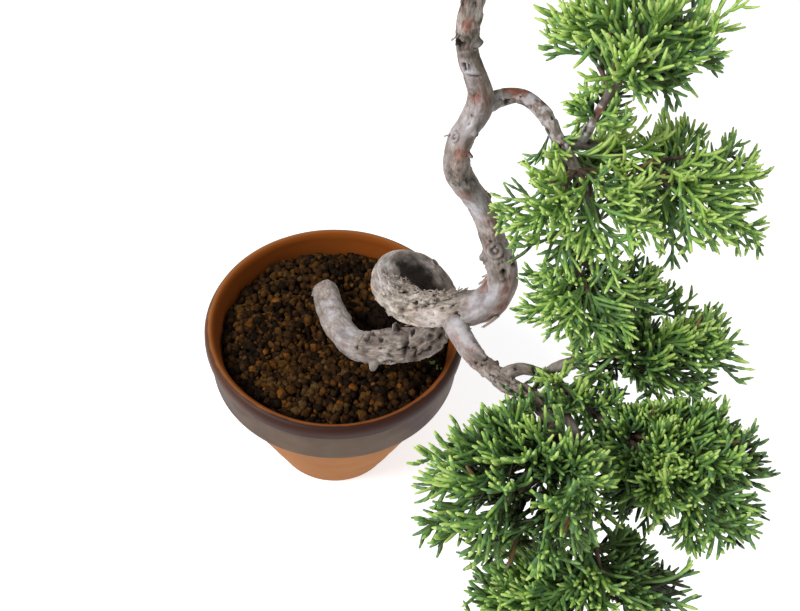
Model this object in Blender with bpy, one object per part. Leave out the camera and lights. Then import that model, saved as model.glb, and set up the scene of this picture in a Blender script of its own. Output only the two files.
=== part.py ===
"""A juniper bonsai with a coiled trunk, planted in a round clay pot with a glazed collar.

Metres, +Z up. The origin is the centre of the pot's flat underside, and the pot stands on Z = 0.
+X is to the right and -Y is the side from which the coil and the foliage are seen.
Tables of places and thicknesses are in millimetres, and MM turns them into metres.
"""

import math
from dataclasses import dataclass

import bmesh
import bpy
import numpy as np
from mathutils import Vector
from mathutils.geometry import delaunay_2d_cdt

MM = 0.001
CLEARANCE = 0.3 * MM  # between every two touching pieces

# ---------------------------------------------------------------- pot and soil
POT_DIAMETER = 150 * MM
POT_HEIGHT = 118 * MM
FOOT_DIAMETER = 78 * MM
COLLAR_HEIGHT = 31.5 * MM
COLLAR_STEP = 3 * MM  # how far the collar stands out from the body below it
COLLAR_TAPER = 0.5 * MM
COLLAR_CHAMFER = 1 * MM
LIP_HEIGHT = 9 * MM
LIP_OVERHANG = 1.6 * MM  # how far the lip's bead stands out from the collar
LIP_ARC_STEPS = 6
WALL = 7 * MM
MOUTH_DIAMETER = 137 * MM
FLOOR = 9 * MM
FOOT_CHAMFER = 1.5 * MM
DRAIN_HOLES = 3
DRAIN_DIAMETER = 11 * MM
DRAIN_CIRCLE = 44 * MM
DRAIN_SIDES = 12
TURNED_SIDES = 40

SOIL_LEVEL = 107 * MM
SOIL_EDGE_DROP = 2.5 * MM
SOIL_EDGE_WIDTH = 10 * MM
SOIL_LUMPS = 110  # crests and hollows in turn, so that the crests stand about 15 mm apart
SOIL_LUMP_RISE = 1.3 * MM  # how far a crest stands above the soil's level, and a hollow below it
SOIL_LUMP_SPREAD = 0.94  # how far out the last lump lies, as a share of the soil's radius
FOOT_BED = 10 * MM  # the soil is flat this near to the line of the trunk's foot, and low up to twice as far

# ---------------------------------------------------------------- wood
RING_SPACING = 6 * MM
TRUNK_SIDES = 10
BOUGH_SIDES = 6
FLUTES = 3
FLUTING = 0.055  # depth of the trunk's soft ribs, as a share of its radius
FLUTE_TWIST = 45  # radians per metre that the ribs turn round the trunk

# Each stretch of trunk: (x, y, z, thickness) in mm, up to the bend where the next one starts.
TRUNK_STRETCHES = {
    "trunk_foot": [
        (-9, 48, 97, 20),
        (-5, 28, 107, 18),
        (-0.5, 3.5, 116.5, 17),
        (5, -18, 127, 16.5),
        (12, -29, 132.5, 17),
        (29.5, -36, 140, 18.5),
    ],
    "trunk_coil_back": [
        (50, -38.5, 152, 17),
        (57.5, -28, 164.5, 17),
        (45, -14.5, 176, 17),
    ],
    "trunk_coil_front": [
        (28, -22, 187.5, 17.5),
        (25, -32, 188.5, 17.5),
        (37, -52, 192.5, 17.5),
        (51.5, -63.5, 204, 17),
    ],
    "trunk_middle": [
        (67.5, -70, 217.5, 16),
        (72, -68, 231, 14),
        (68, -63.5, 247, 12.4),
        (58, -61, 268.5, 10.5),
    ],
    "trunk_upper": [
        (47.5, -64.5, 289, 11),
        (46, -69.5, 309.5, 9.5),
        (51, -69, 323, 10),
        (44, -68.5, 345.5, 8.3),
    ],
    "trunk_top": [
        (42.5, -75.5, 368.5, 7.7),
        (45, -69, 388, 7),
        (51, -56, 404, 5.6),
        (48, -49, 419, 4.2),
    ],
}

# Each bough: the limb that it leaves, then its own stations as above, from inside that limb to its tip.
BOUGHS = {
    "bough_low": ("trunk", [
        (53, -65, 205, 13),
        (55.5, -81, 208, 11),
        (61, -99, 214, 9.4),
        (69, -117, 223, 8),
        (75, -129, 231, 6.6),
        (80, -143, 236, 5.6),
    ]),
    "bough_low_front": ("bough_low", [
        (74, -127, 230, 4.8),
        (86, -136, 232, 4.4),
        (91, -152, 232, 4),
        (91, -172, 227, 3.4),
    ]),
    "bough_low_right": ("bough_low", [
        (67, -113, 221, 5),
        (75, -116, 231, 4.6),
        (84, -122, 234, 4.2),
        (94, -133, 233, 3.6),
        (104, -143, 232, 3.2),
    ]),
    "bough_low_back": ("bough_low_right", [
        (82, -120, 234, 3.8),
        (90, -119, 239, 3.4),
        (98, -119, 243, 3),
    ]),
    "bough_mid": ("trunk", [
        (51, -69, 322, 7),
        (58, -67, 325, 5.8),
        (65, -67.5, 326, 5.3),
        (72, -74.5, 325, 5),
        (76, -85, 321.5, 5),
        (80, -93, 319, 4.4),
    ]),
    "bough_mid_right": ("bough_mid", [
        (76, -85, 321, 4),
        (86, -87, 321, 3.6),
        (97, -92, 318, 3),
    ]),
    "bough_mid_under": ("bough_mid", [
        (77, -87, 320.5, 3.4),
        (79, -98, 307, 3.2),
        (82, -107, 295, 2.8),
    ]),
    "bough_upper": ("bough_mid_right", [
        (83, -86.5, 321, 3.4),
        (84, -90, 330, 3.2),
        (86, -91, 341, 3),
    ]),
    "bough_left": ("trunk", [
        (44.5, -70, 386, 4.6),
        (34, -64, 390, 4),
        (22, -55, 393, 3.2),
    ]),
    "bough_back": ("trunk", [
        (46, -67, 391, 4.2),
        (41, -48, 391, 3.8),
        (37, -28, 390, 3.2),
        (35, -16, 390, 3),
    ]),
    "bough_right": ("trunk", [
        (49, -60, 399, 4),
        (60, -48, 397, 3.6),
        (71, -36, 396, 3),
    ]),
}

# ---------------------------------------------------------------- foliage
STEM_SIDES = 4
TWIG_SIDES = 3
SHOOT_SIDES = 3
TWIG_THICKNESS = 2.3 * MM
SHOOT_ROOT_THICKNESS = 1.4 * MM
SHOOT_THICKNESS = 3.0 * MM  # at its blunt tip: each stands for a small spray of cord-like shoots
SHOOT_LENGTH = 19 * MM
SHOOT_TRIES = (1, 0.85, 0.7, 0.55)  # shares of its length that a shoot is tried at, to keep to its space
TARGET_SHARES = (0.42, 0.68)  # how far out the twigs' targets lie, in shares of the reach
SIDE_SHOOT_ANGLE = math.radians(38)
SIDE_SHOOTS = 3
SIDE_SHOOT_ROOTS = (0.05, 0.4, 0.75)  # where they leave the twig, back from its end, in shares of a step
SHOOT_TEST_SHARES = np.linspace(0.2, 1, 5)  # the places along a shoot that are tested against its space
LEADER_LENGTHS = (0.8, 1.1)  # shares of SHOOT_LENGTH
SIDE_SHOOT_LENGTHS = (0.75, 1.05)  # shares of SHOOT_LENGTH
LEAN_SPREAD = (0.8, 1.2)  # shares of SIDE_SHOOT_ANGLE
TURN_SPREAD = 0.4  # radians either way
TWIG_LIFT = 0.22  # how far a twig bows upwards, as a share of its length
STEM_STEPS = 5
STEM_BEND = 0.5  # how far a stem keeps to its bough's heading, as a share of the way in
STEM_REACH = 0.3  # where a stem ends beyond its mass's centre, as a share of the reach
GOLDEN_ANGLE = math.pi * (3 - math.sqrt(5))
LIMB_GAP = 1.2 * MM  # least distance from foliage to a limb
MASS_GAP = 1.6 * MM  # least distance from foliage to the next mass's space


@dataclass(frozen=True)
class Mass:
    """A mass of foliage: its bough, the centre and half-sizes of its space in mm, its twigs and its seed."""

    bough: str
    centre: tuple
    reach: tuple
    twigs: int
    seed: int


MASSES = {
    "foliage_low_left": Mass("bough_low", (60, -178, 250), (38, 32, 25), 14, 11),
    "foliage_low_front": Mass("bough_low_front", (87, -200, 211), (47, 28, 24), 14, 12),
    "foliage_low_right": Mass("bough_low_right", (126, -160, 229), (34, 32, 26), 13, 13),
    "foliage_low_back": Mass("bough_low_back", (118, -120, 250), (34, 26, 22), 11, 14),
    "foliage_mid_left": Mass("bough_mid", (88, -100, 306), (36, 30, 23), 20, 15),
    "foliage_mid_right": Mass("bough_mid_right", (122, -96, 309), (28, 30, 20), 11, 16),
    "foliage_mid_under": Mass("bough_mid_under", (90, -118, 279), (27, 22, 15), 10, 17),
    "foliage_upper": Mass("bough_upper", (93, -84, 362), (32, 26, 22), 10, 18),
    "foliage_crown_top": Mass("trunk_top", (46, -48, 436), (36, 34, 25), 11, 19),
    "foliage_crown_left": Mass("bough_left", (2, -42, 405), (32, 30, 20), 9, 20),
    "foliage_crown_back": Mass("bough_back", (30, 14, 396), (34, 32, 22), 10, 31),
    "foliage_crown_right": Mass("bough_right", (90, -20, 402), (32, 30, 22), 10, 22),
}

# ---------------------------------------------------------------- materials: base colour, roughness, metallic
TERRACOTTA = ("terracotta", (0.48, 0.20, 0.08), 0.85, 0.0)
SOIL = ("soil_grains", (0.10, 0.05, 0.02), 0.95, 0.0)
BARK = ("bark", (0.28, 0.21, 0.17), 0.8, 0.0)
NEEDLES = ("needles", (0.07, 0.19, 0.03), 0.6, 0.0)


def material(look):
    """The Principled material of a (name, colour, roughness, metallic) look, made once."""
    name, colour, roughness, metallic = look
    made = bpy.data.materials.get(name)
    if made is None:
        made = bpy.data.materials.new(name)
        made.use_nodes = True
        shader = made.node_tree.nodes["Principled BSDF"]
        shader.inputs["Base Color"].default_value = (*colour, 1.0)
        shader.inputs["Roughness"].default_value = roughness
        shader.inputs["Metallic"].default_value = metallic
    return made


def add_object(name, vertices, faces, look):
    """A mesh object with its faces turned outwards, shaded smooth except at its edges."""
    mesh = bpy.data.meshes.new(name)
    mesh.from_pydata([tuple(v) for v in vertices], [], faces)
    shaped = bmesh.new()
    shaped.from_mesh(mesh)
    bmesh.ops.recalc_face_normals(shaped, faces=shaped.faces)
    shaped.to_mesh(mesh)
    shaped.free()
    mesh.shade_smooth()
    mesh.set_sharp_from_angle(angle=math.radians(40))
    made = bpy.data.objects.new(name, mesh)
    bpy.context.scene.collection.objects.link(made)
    made.data.materials.append(material(look))
    return made


def apply_modifiers(target):
    """Bakes the object's modifiers into its mesh."""
    graph = bpy.context.evaluated_depsgraph_get()
    baked = bpy.data.meshes.new_from_object(target.evaluated_get(graph))
    target.modifiers.clear()
    target.data = baked


def cut(target, cutters):
    """Subtracts the cutters from the target, one after the other, and removes them."""
    for cutter in cutters:
        boolean = target.modifiers.new("cut", "BOOLEAN")
        boolean.operation = "DIFFERENCE"
        boolean.solver = "EXACT"
        boolean.object = cutter
        apply_modifiers(target)
        bpy.data.objects.remove(cutter)


def keep_largest_skin(target):
    """Removes every skin but the largest: slivers beside a cut, and pockets that shoots close off."""
    shaped = bmesh.new()
    shaped.from_mesh(target.data)
    left = set(shaped.verts)
    skins = []
    while left:
        skin, edge = set(), [left.pop()]
        while edge:
            vertex = edge.pop()
            skin.add(vertex)
            nearby = {link.other_vert(vertex) for link in vertex.link_edges} & left
            left -= nearby
            edge.extend(nearby)
        skins.append(skin)
    skins.sort(key=len)
    for skin in skins[:-1]:
        bmesh.ops.delete(shaped, geom=list(skin), context="VERTS")
    shaped.to_mesh(target.data)
    shaped.free()


# ---------------------------------------------------------------- turned pieces
def revolved(profile, sides):
    """The vertices and faces of a profile of (radius, height) pairs carried round +Z."""
    vertices, rings = [], []
    for radius, height in profile:
        if radius == 0:
            rings.append([len(vertices)] * sides)
            vertices.append((0, 0, height))
            continue
        rings.append(list(range(len(vertices), len(vertices) + sides)))
        vertices += [(*on_circle(radius, k, sides), height) for k in range(sides)]
    faces = []
    for low, high in zip(rings, rings[1:]):
        for k in range(sides):
            n = (k + 1) % sides
            corners = [low[k], low[n], high[n], high[k]]
            faces.append(list(dict.fromkeys(corners)))
    return vertices, faces


def turned(name, profile, look, sides=TURNED_SIDES):
    """A solid of revolution round +Z. The profile is (radius, height) pairs, from pole to pole."""
    return add_object(name, *revolved(profile, sides), look)


def on_circle(radius, number, count, turn=0.0):
    """The place, in X and Y, of one of a count of even points on a circle."""
    angle = 2 * math.pi * (number + turn) / count
    return radius * math.cos(angle), radius * math.sin(angle)


def body_radius(height):
    """The pot's outer radius on the cone below its collar."""
    foot = FOOT_DIAMETER / 2
    under_collar = POT_DIAMETER / 2 - LIP_OVERHANG - COLLAR_STEP
    return foot + (under_collar - foot) * height / (POT_HEIGHT - COLLAR_HEIGHT)


def inside_radius(height):
    """The pot's inner radius: a wall's thickness inside the cone, and wider towards the lip."""
    collar_bottom = POT_HEIGHT - COLLAR_HEIGHT
    if height <= collar_bottom:
        return body_radius(height) - WALL
    share = (height - collar_bottom) / COLLAR_HEIGHT
    return (body_radius(collar_bottom) - WALL) * (1 - share) + MOUTH_DIAMETER / 2 * share


def pot():
    """The pot: a cone with a chamfered foot, a straight collar and a rounded lip, with three drain holes."""
    collar = POT_DIAMETER / 2 - LIP_OVERHANG
    collar_bottom = POT_HEIGHT - COLLAR_HEIGHT
    lip_bottom = POT_HEIGHT - LIP_HEIGHT
    rim_inside = inside_radius(POT_HEIGHT)
    lip_middle = (POT_DIAMETER / 2 + rim_inside) / 2
    lip_half = POT_DIAMETER / 2 - lip_middle
    profile = [
        (FOOT_DIAMETER / 2 - FOOT_CHAMFER, 0),
        (body_radius(FOOT_CHAMFER), FOOT_CHAMFER),
        (body_radius(collar_bottom), collar_bottom),
        (collar - COLLAR_TAPER - COLLAR_CHAMFER, collar_bottom),
        (collar - COLLAR_TAPER, collar_bottom + COLLAR_CHAMFER),
        (collar, lip_bottom),
        (POT_DIAMETER / 2 - COLLAR_CHAMFER / 2, lip_bottom + COLLAR_CHAMFER / 2),
    ]
    for step in range(LIP_ARC_STEPS + 1):
        angle = math.pi * step / LIP_ARC_STEPS
        rise = LIP_HEIGHT / 2 * math.sin(angle)
        profile.append((lip_middle + lip_half * math.cos(angle), POT_HEIGHT - LIP_HEIGHT / 2 + rise))
    profile += [
        (inside_radius(collar_bottom), collar_bottom),
        (inside_radius(FLOOR), FLOOR),
        (0, FLOOR),
    ]
    made = turned("pot", [(0, 0)] + profile, TERRACOTTA)
    drains = []
    radius = DRAIN_DIAMETER / 2
    through = [(0, -FLOOR), (radius, -FLOOR), (radius, 2 * FLOOR), (0, 2 * FLOOR)]
    for k in range(DRAIN_HOLES):
        drain = turned("drain", through, TERRACOTTA, DRAIN_SIDES)
        drain.location = (*on_circle(DRAIN_CIRCLE / 2, k, DRAIN_HOLES, 0.5), 0)
        drains.append(drain)
    bpy.context.view_layer.update()
    cut(made, drains)


def soil():
    """The soil: it fills the pot, clear of its wall, with a lumpy top that is a little lower at the edge."""
    edge_level = SOIL_LEVEL - SOIL_EDGE_DROP
    bottom = FLOOR + CLEARANCE
    profile = [(0, bottom)]
    for height in (bottom, POT_HEIGHT - COLLAR_HEIGHT, edge_level):
        profile.append((inside_radius(height) - CLEARANCE, height))
    vertices, faces = revolved(profile, TURNED_SIDES)
    rim = list(range(len(vertices) - TURNED_SIDES, len(vertices)))
    lumps = soil_lumps(profile[-1][0])
    top = rim + list(range(len(vertices), len(vertices) + len(lumps)))
    vertices += lumps
    flat = [Vector(vertices[k][:2]) for k in top]
    meshed = delaunay_2d_cdt(flat, [], [], 0, 1e-7)
    faces += [[top[meshed[3][corner][0]] for corner in face] for face in meshed[2]]
    add_object("soil", vertices, faces, SOIL)


def soil_lumps(edge_radius):
    """The places of the soil's crests and hollows, evenly spread, and level round the trunk's foot."""
    foot = Limb(TRUNK_STRETCHES["trunk_foot"])
    buried = foot.line[foot.line[:, 2] - foot.radius < SOIL_LEVEL + 2 * SOIL_LUMP_RISE, :2]
    lumps = []
    for k in range(SOIL_LUMPS):
        radius = edge_radius * SOIL_LUMP_SPREAD * math.sqrt((k + 0.5) / SOIL_LUMPS)
        place = radius * math.cos(GOLDEN_ANGLE * k), radius * math.sin(GOLDEN_ANGLE * k)
        outside = max(0.0, radius + SOIL_EDGE_WIDTH - edge_radius) / SOIL_EDGE_WIDTH
        height = SOIL_LEVEL - SOIL_EDGE_DROP * outside
        away = np.linalg.norm(buried - place, axis=1).min()
        crest = SOIL_LUMP_RISE if away > 2 * FOOT_BED else 0
        if away > FOOT_BED:
            height += crest if k % 2 else crest - 2 * SOIL_LUMP_RISE
        lumps.append((*place, height))
    return lumps


# ---------------------------------------------------------------- limbs
def tube_faces(rings, sides):
    """The faces of a tube of rings of vertices, with both ends closed."""
    faces = [list(range(sides)), list(range((rings - 1) * sides, rings * sides))]
    for base in range(0, (rings - 1) * sides, sides):
        for k in range(sides):
            n = (k + 1) % sides
            faces.append([base + k, base + n, base + sides + n, base + sides + k])
    return faces


class Limb:
    """A tapering limb along a smooth line through its stations, measured by the distance along it."""

    FINE = 0.5 * MM

    def __init__(self, stations, bends=()):
        """Bends are the stations, by number, where the limb is split, so that a ring falls on each."""
        table = np.array(stations, float) * MM
        knots = np.concatenate([[0], np.cumsum(np.linalg.norm(np.diff(table[:, :3], axis=0), axis=1))])
        slopes = np.diff(table, axis=0) / np.diff(knots)[:, None]
        gaps = np.diff(knots)[:, None]
        tangents = np.vstack([
            slopes[:1],
            (gaps[1:] * slopes[:-1] + gaps[:-1] * slopes[1:]) / (gaps[1:] + gaps[:-1]),
            slopes[-1:],
        ])
        self.knots = knots
        self.length = knots[-1]
        along = np.linspace(0, self.length, int(self.length / self.FINE) + 1)
        span = np.clip(np.searchsorted(knots, along, side="right") - 1, 0, len(knots) - 2)
        gap = np.diff(knots)[span][:, None]
        u = (along[:, None] - knots[span][:, None]) / gap
        curve = ((2 * u**3 - 3 * u**2 + 1) * table[span] + (u**3 - 2 * u**2 + u) * gap * tangents[span]
                 + (3 * u**2 - 2 * u**3) * table[span + 1] + (u**3 - u**2) * gap * tangents[span + 1])
        self.along = along
        self.line = curve[:, :3]
        self.radius = curve[:, 3] / 2
        self.heading = np.gradient(self.line, axis=0)
        self.heading /= np.linalg.norm(self.heading, axis=1)[:, None]
        self.side = self._sides()
        self.marks = [0, *knots[list(bends)], self.length]
        self.rings = np.unique(np.concatenate([
            np.linspace(low, high, max(2, round((high - low) / RING_SPACING) + 1))
            for low, high in zip(self.marks, self.marks[1:])
        ]))

    def _sides(self):
        """A sideways direction at each point, carried along the line without twisting."""
        sides = np.empty_like(self.line)
        side = np.cross(self.heading[0], (0.0, 0.0, 1.0))
        if np.linalg.norm(side) < 0.1:
            side = np.cross(self.heading[0], (0.0, 1.0, 0.0))
        for k, heading in enumerate(self.heading):
            side = side - heading * (side @ heading)
            side = side / np.linalg.norm(side)
            sides[k] = side
        return sides

    def at(self, distance):
        """(point, heading, side, radius) at a distance along the limb."""
        k = int(round(np.clip(distance, 0, self.length) / self.length * (len(self.along) - 1)))
        return self.line[k], self.heading[k], self.side[k], self.radius[k]

    def tube(self, name, start, end, sides, fluting=0.0, swell=0.0):
        """A closed solid of the limb from start to end, thicker by swell."""
        rings = [start, *self.rings[(self.rings > start) & (self.rings < end)], end]
        vertices = []
        for distance in rings:
            point, heading, side, radius = self.at(distance)
            across = np.cross(heading, side)
            for k in range(sides):
                angle = 2 * math.pi * k / sides
                rib = 1 + fluting * math.sin(FLUTES * angle + FLUTE_TWIST * distance)
                out = side * math.cos(angle) + across * math.sin(angle)
                vertices.append(point + out * (radius * rib + swell))
        return add_object(name, vertices, tube_faces(len(rings), sides), BARK)


def cut_flat(target, level):
    """Cuts away what lies below a level and closes the cut with one flat face."""
    shaped = bmesh.new()
    shaped.from_mesh(target.data)
    geometry = shaped.verts[:] + shaped.edges[:] + shaped.faces[:]
    sliced = bmesh.ops.bisect_plane(shaped, geom=geometry, plane_co=(0, 0, level),
                                    plane_no=(0, 0, 1), clear_inner=True)
    rim = [e for e in sliced["geom_cut"] if isinstance(e, bmesh.types.BMEdge)]
    bmesh.ops.contextual_create(shaped, geom=rim)
    bmesh.ops.recalc_face_normals(shaped, faces=shaped.faces)
    shaped.to_mesh(target.data)
    shaped.free()


def trunk():
    """The trunk's stretches, end to end from the soil to the tip, and the limb that they follow."""
    stations = [station for stretch in TRUNK_STRETCHES.values() for station in stretch]
    bends = np.cumsum([len(stretch) for stretch in TRUNK_STRETCHES.values()])[:-1]
    limb = Limb(stations, bends)
    for name, start, end in zip(TRUNK_STRETCHES, limb.marks, limb.marks[1:]):
        gap = CLEARANCE if start else 0
        made = limb.tube(name, start + gap, end, TRUNK_SIDES, FLUTING)
        if not start:
            cut_flat(made, SOIL_LEVEL + CLEARANCE)
    return limb


def boughs(trunk_limb):
    """The boughs, each cut clear of the limb that it leaves. Returns every limb by name."""
    limbs = {"trunk": trunk_limb}
    for name, (parent, stations) in BOUGHS.items():
        limb = Limb(stations)
        made = limb.tube(name, 0, limb.length, BOUGH_SIDES)
        carrier = limbs[parent]
        root = carrier.along[np.linalg.norm(carrier.line - limb.line[0], axis=1).argmin()]
        sides, fluting = (TRUNK_SIDES, FLUTING) if parent == "trunk" else (BOUGH_SIDES, 0)
        cut(made, [cutter_near(carrier, root, sides, fluting)])
        keep_largest_skin(made)
        limbs[name] = limb
    return limbs


def cutter_near(limb, distance, sides, fluting):
    """A cutter: the limb on both sides of a distance, on its own rings, thicker by the clearance."""
    reach = 4 * limb.at(distance)[3] + 2 * RING_SPACING
    first = max(np.searchsorted(limb.rings, distance - reach) - 1, 0)
    last = min(np.searchsorted(limb.rings, distance + reach), len(limb.rings) - 1)
    return limb.tube("cutter", limb.rings[first], limb.rings[last], sides, fluting, CLEARANCE)


# ---------------------------------------------------------------- foliage
def sphere_direction(index, count, turn):
    """The index-th of count even directions over a sphere, turned about +Z."""
    height = 1 - 2 * (index + 0.5) / count
    around = GOLDEN_ANGLE * index + turn
    level = math.sqrt(1 - height * height)
    return np.array([level * math.cos(around), level * math.sin(around), height])


def bow(start, bend, end, steps):
    """Points on the curve from start to end that leans towards bend."""
    t = np.linspace(0, 1, steps + 1)[:, None]
    return (1 - t) ** 2 * start + 2 * t * (1 - t) * bend + t**2 * end


class Space:
    """The room that each mass keeps to: an ellipsoid, less what lies nearer the next mass or any wood."""

    def __init__(self, limbs):
        self.centres = np.array([mass.centre for mass in MASSES.values()]) * MM
        self.reaches = np.array([mass.reach for mass in MASSES.values()]) * MM
        self.wood = np.concatenate([limb.line[::4] for limb in limbs.values()])
        self.wood_radius = np.concatenate([limb.radius[::4] for limb in limbs.values()])
        self.wood_owner = np.full(len(self.wood), -1)

    def add_stem(self, owner, line, thickness, tip_thickness):
        """Keeps the other masses clear of one mass's stem."""
        share = np.linspace(0, 1, 40)
        knots = np.linspace(0, 1, len(line))
        points = np.stack([np.interp(share, knots, line[:, axis]) for axis in range(3)], axis=1)
        self.wood = np.concatenate([self.wood, points])
        radius = ((1 - share) * thickness + share * tip_thickness) / 2
        self.wood_radius = np.concatenate([self.wood_radius, radius])
        self.wood_owner = np.concatenate([self.wood_owner, np.full(len(points), owner)])

    def holds(self, index, points, thickness):
        """Whether every point, with its thickness, keeps to the space of mass number index."""
        share = np.linalg.norm((points[:, None] - self.centres) / self.reaches, axis=2)
        own = share[:, index]
        rest = np.delete(share, index, axis=1).min(axis=1)
        margin = (MASS_GAP + thickness) / self.reaches.min() / 2
        if (own > 1.0).any() or (own > rest - margin).any():
            return False
        others = self.wood_owner != index
        gaps = np.linalg.norm(points[:, None] - self.wood[others], axis=2) - self.wood_radius[others]
        return bool(gaps.min() > thickness + LIMB_GAP)


class Growth:
    """The seeded rule that fills one mass: a stem, twigs towards even targets, and shoots along them."""

    def __init__(self, name, limbs, space):
        self.name = name
        self.mass = MASSES[name]
        self.index = list(MASSES).index(name)
        self.space = space
        self.random = np.random.default_rng(self.mass.seed)
        self.centre = np.array(self.mass.centre) * MM
        self.reach = np.array(self.mass.reach) * MM
        carrier = limbs["trunk" if self.mass.bough == "trunk_top" else self.mass.bough]
        point, heading, _, radius = carrier.at(carrier.length)
        self.root = point + heading * CLEARANCE
        self.heading = heading
        self.thickness = 2 * radius
        self.stem = self._stem()
        space.add_stem(self.index, self.stem, self.thickness, TWIG_THICKNESS)

    def _stem(self):
        """The stem's line from the bough's tip past the centre of the mass."""
        inwards = self.centre - self.root
        end = self.centre + inwards / np.linalg.norm(inwards) * self.reach.min() * STEM_REACH
        bend = self.root + self.heading * np.linalg.norm(inwards) * STEM_BEND
        return bow(self.root, bend, end, STEM_STEPS)

    def twigs(self):
        """The line of each twig that keeps to the space: from the stem through its target to its tip."""
        lines = []
        turn = self.random.uniform(0, 2 * math.pi)
        for k in range(self.mass.twigs):
            direction = sphere_direction(k, self.mass.twigs, turn)
            target = self.centre + direction * self.reach * self.random.uniform(*TARGET_SHARES)
            leader = SHOOT_LENGTH * self.random.uniform(*LEADER_LENGTHS)
            tries = [
                self._twig(self.stem[1 + (k + later) % (len(self.stem) - 2)], target, leader * share)
                for share in SHOOT_TRIES
                for later in range(len(self.stem) - 2)
            ]
            held = (line for line in tries if self.space.holds(self.index, line[1:], SHOOT_THICKNESS / 2))
            line = next(held, None)
            if line is not None:
                lines.append(line)
        return lines

    def _twig(self, start, target, leader):
        """A twig's line: it bows up from the stem to its target, and its leading shoot goes straight on."""
        lift = np.array([0, 0, TWIG_LIFT * np.linalg.norm(target - start)])
        line = bow(start, (start + target) / 2 + lift, target, 2)
        heading = line[-1] - line[-2]
        return np.vstack([line, line[-1] + heading / np.linalg.norm(heading) * leader])

    def side_shoots(self, twig):
        """The (root, tip) pairs of a twig's side shoots that keep to the space."""
        heading = twig[-2] - twig[-3]
        step = np.linalg.norm(heading)
        heading = heading / step
        side = np.cross(heading, (0.0, 0.0, 1.0))
        side = side / max(np.linalg.norm(side), 1e-6)
        across = np.cross(heading, side)
        turn = self.random.uniform(0, 2 * math.pi)
        pairs = []
        for k in range(SIDE_SHOOTS):
            around = turn + 2 * math.pi * k / SIDE_SHOOTS + self.random.uniform(-TURN_SPREAD, TURN_SPREAD)
            out = side * math.cos(around) + across * math.sin(around)
            lean = SIDE_SHOOT_ANGLE * self.random.uniform(*LEAN_SPREAD)
            direction = heading * math.cos(lean) + out * math.sin(lean)
            length = SHOOT_LENGTH * self.random.uniform(*SIDE_SHOOT_LENGTHS)
            root = twig[-2] - heading * step * SIDE_SHOOT_ROOTS[k]
            for share in SHOOT_TRIES:
                tip = root + direction * length * share
                points = root + (tip - root) * SHOOT_TEST_SHARES[:, None]
                if self.space.holds(self.index, points, SHOOT_THICKNESS / 2):
                    pairs.append((root, tip))
                    break
        return pairs


def rod(name, line, thicknesses, sides, first=None):
    """A rod with few sides along a line of points, squared off at its root to a first heading."""
    headings = np.gradient(line, axis=0)
    if first is not None:
        headings[0] = first
    headings /= np.linalg.norm(headings, axis=1)[:, None]
    side = np.array(Vector(headings[0]).orthogonal())
    vertices = []
    for point, heading, thickness in zip(line, headings, thicknesses):
        side = side - heading * (side @ heading)
        side = side / np.linalg.norm(side)
        across = np.cross(heading, side)
        for corner in range(sides):
            angle = 2 * math.pi * corner / sides
            out = side * math.cos(angle) + across * math.sin(angle)
            vertices.append(point + thickness / 2 * out)
    return add_object(name, vertices, tube_faces(len(line), sides), NEEDLES)


def foliage(growth):
    """One mass: its stem with twigs and shoots fused on by one Boolean union."""
    taper = np.linspace(growth.thickness, TWIG_THICKNESS, len(growth.stem))
    stem = rod(growth.name, growth.stem, taper, STEM_SIDES, growth.heading)
    sprigs = bpy.data.collections.new("sprigs")
    bpy.context.scene.collection.children.link(sprigs)
    for twig in growth.twigs():
        parts = [rod("twig", twig, [TWIG_THICKNESS] * 3 + [SHOOT_THICKNESS], TWIG_SIDES)]
        for pair in growth.side_shoots(twig):
            parts.append(rod("shoot", np.array(pair), [SHOOT_ROOT_THICKNESS, SHOOT_THICKNESS], SHOOT_SIDES))
        for part in parts:
            bpy.context.scene.collection.objects.unlink(part)
            sprigs.objects.link(part)
    union = stem.modifiers.new("fuse", "BOOLEAN")
    union.operation = "UNION"
    union.solver = "MANIFOLD"
    union.operand_type = "COLLECTION"
    union.collection = sprigs
    apply_modifiers(stem)
    for part in list(sprigs.objects):
        bpy.data.objects.remove(part)
    bpy.data.collections.remove(sprigs)
    keep_largest_skin(stem)


def main():
    for existing in list(bpy.data.objects):
        bpy.data.objects.remove(existing)
    pot()
    soil()
    limbs = boughs(trunk())
    space = Space(limbs)
    growths = [Growth(name, limbs, space) for name in MASSES]
    for growth in growths:
        foliage(growth)


main()
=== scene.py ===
"""The looks of a juniper bonsai with a coiled trunk, in a round clay pot with a glazed collar.

Metres, +Z up. The origin is the centre of the pot's flat underside, and the pot stands on Z = 0.
Tables of places and thicknesses are in millimetres, and MM turns them into metres.
"""

import logging
import math
from dataclasses import dataclass, field, fields, replace
from enum import Enum
from typing import Any, Optional, Sequence

import bpy
import numpy as np
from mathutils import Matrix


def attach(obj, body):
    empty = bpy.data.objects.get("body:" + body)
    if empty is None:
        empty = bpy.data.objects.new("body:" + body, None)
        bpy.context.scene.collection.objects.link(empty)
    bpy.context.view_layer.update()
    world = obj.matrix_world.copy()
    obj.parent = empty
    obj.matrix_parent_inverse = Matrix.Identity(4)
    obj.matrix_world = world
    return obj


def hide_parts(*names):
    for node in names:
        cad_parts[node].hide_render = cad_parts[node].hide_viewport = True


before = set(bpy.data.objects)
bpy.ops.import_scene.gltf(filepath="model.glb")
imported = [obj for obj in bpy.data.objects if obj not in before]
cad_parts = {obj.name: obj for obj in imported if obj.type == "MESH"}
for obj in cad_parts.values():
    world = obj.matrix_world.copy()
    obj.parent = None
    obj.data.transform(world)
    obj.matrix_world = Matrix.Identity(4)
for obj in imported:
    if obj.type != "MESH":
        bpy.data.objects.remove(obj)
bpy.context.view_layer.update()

MM = 0.001
GOLDEN_ANGLE = math.pi * (3 - math.sqrt(5))
log = logging.getLogger("bonsai")


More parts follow.
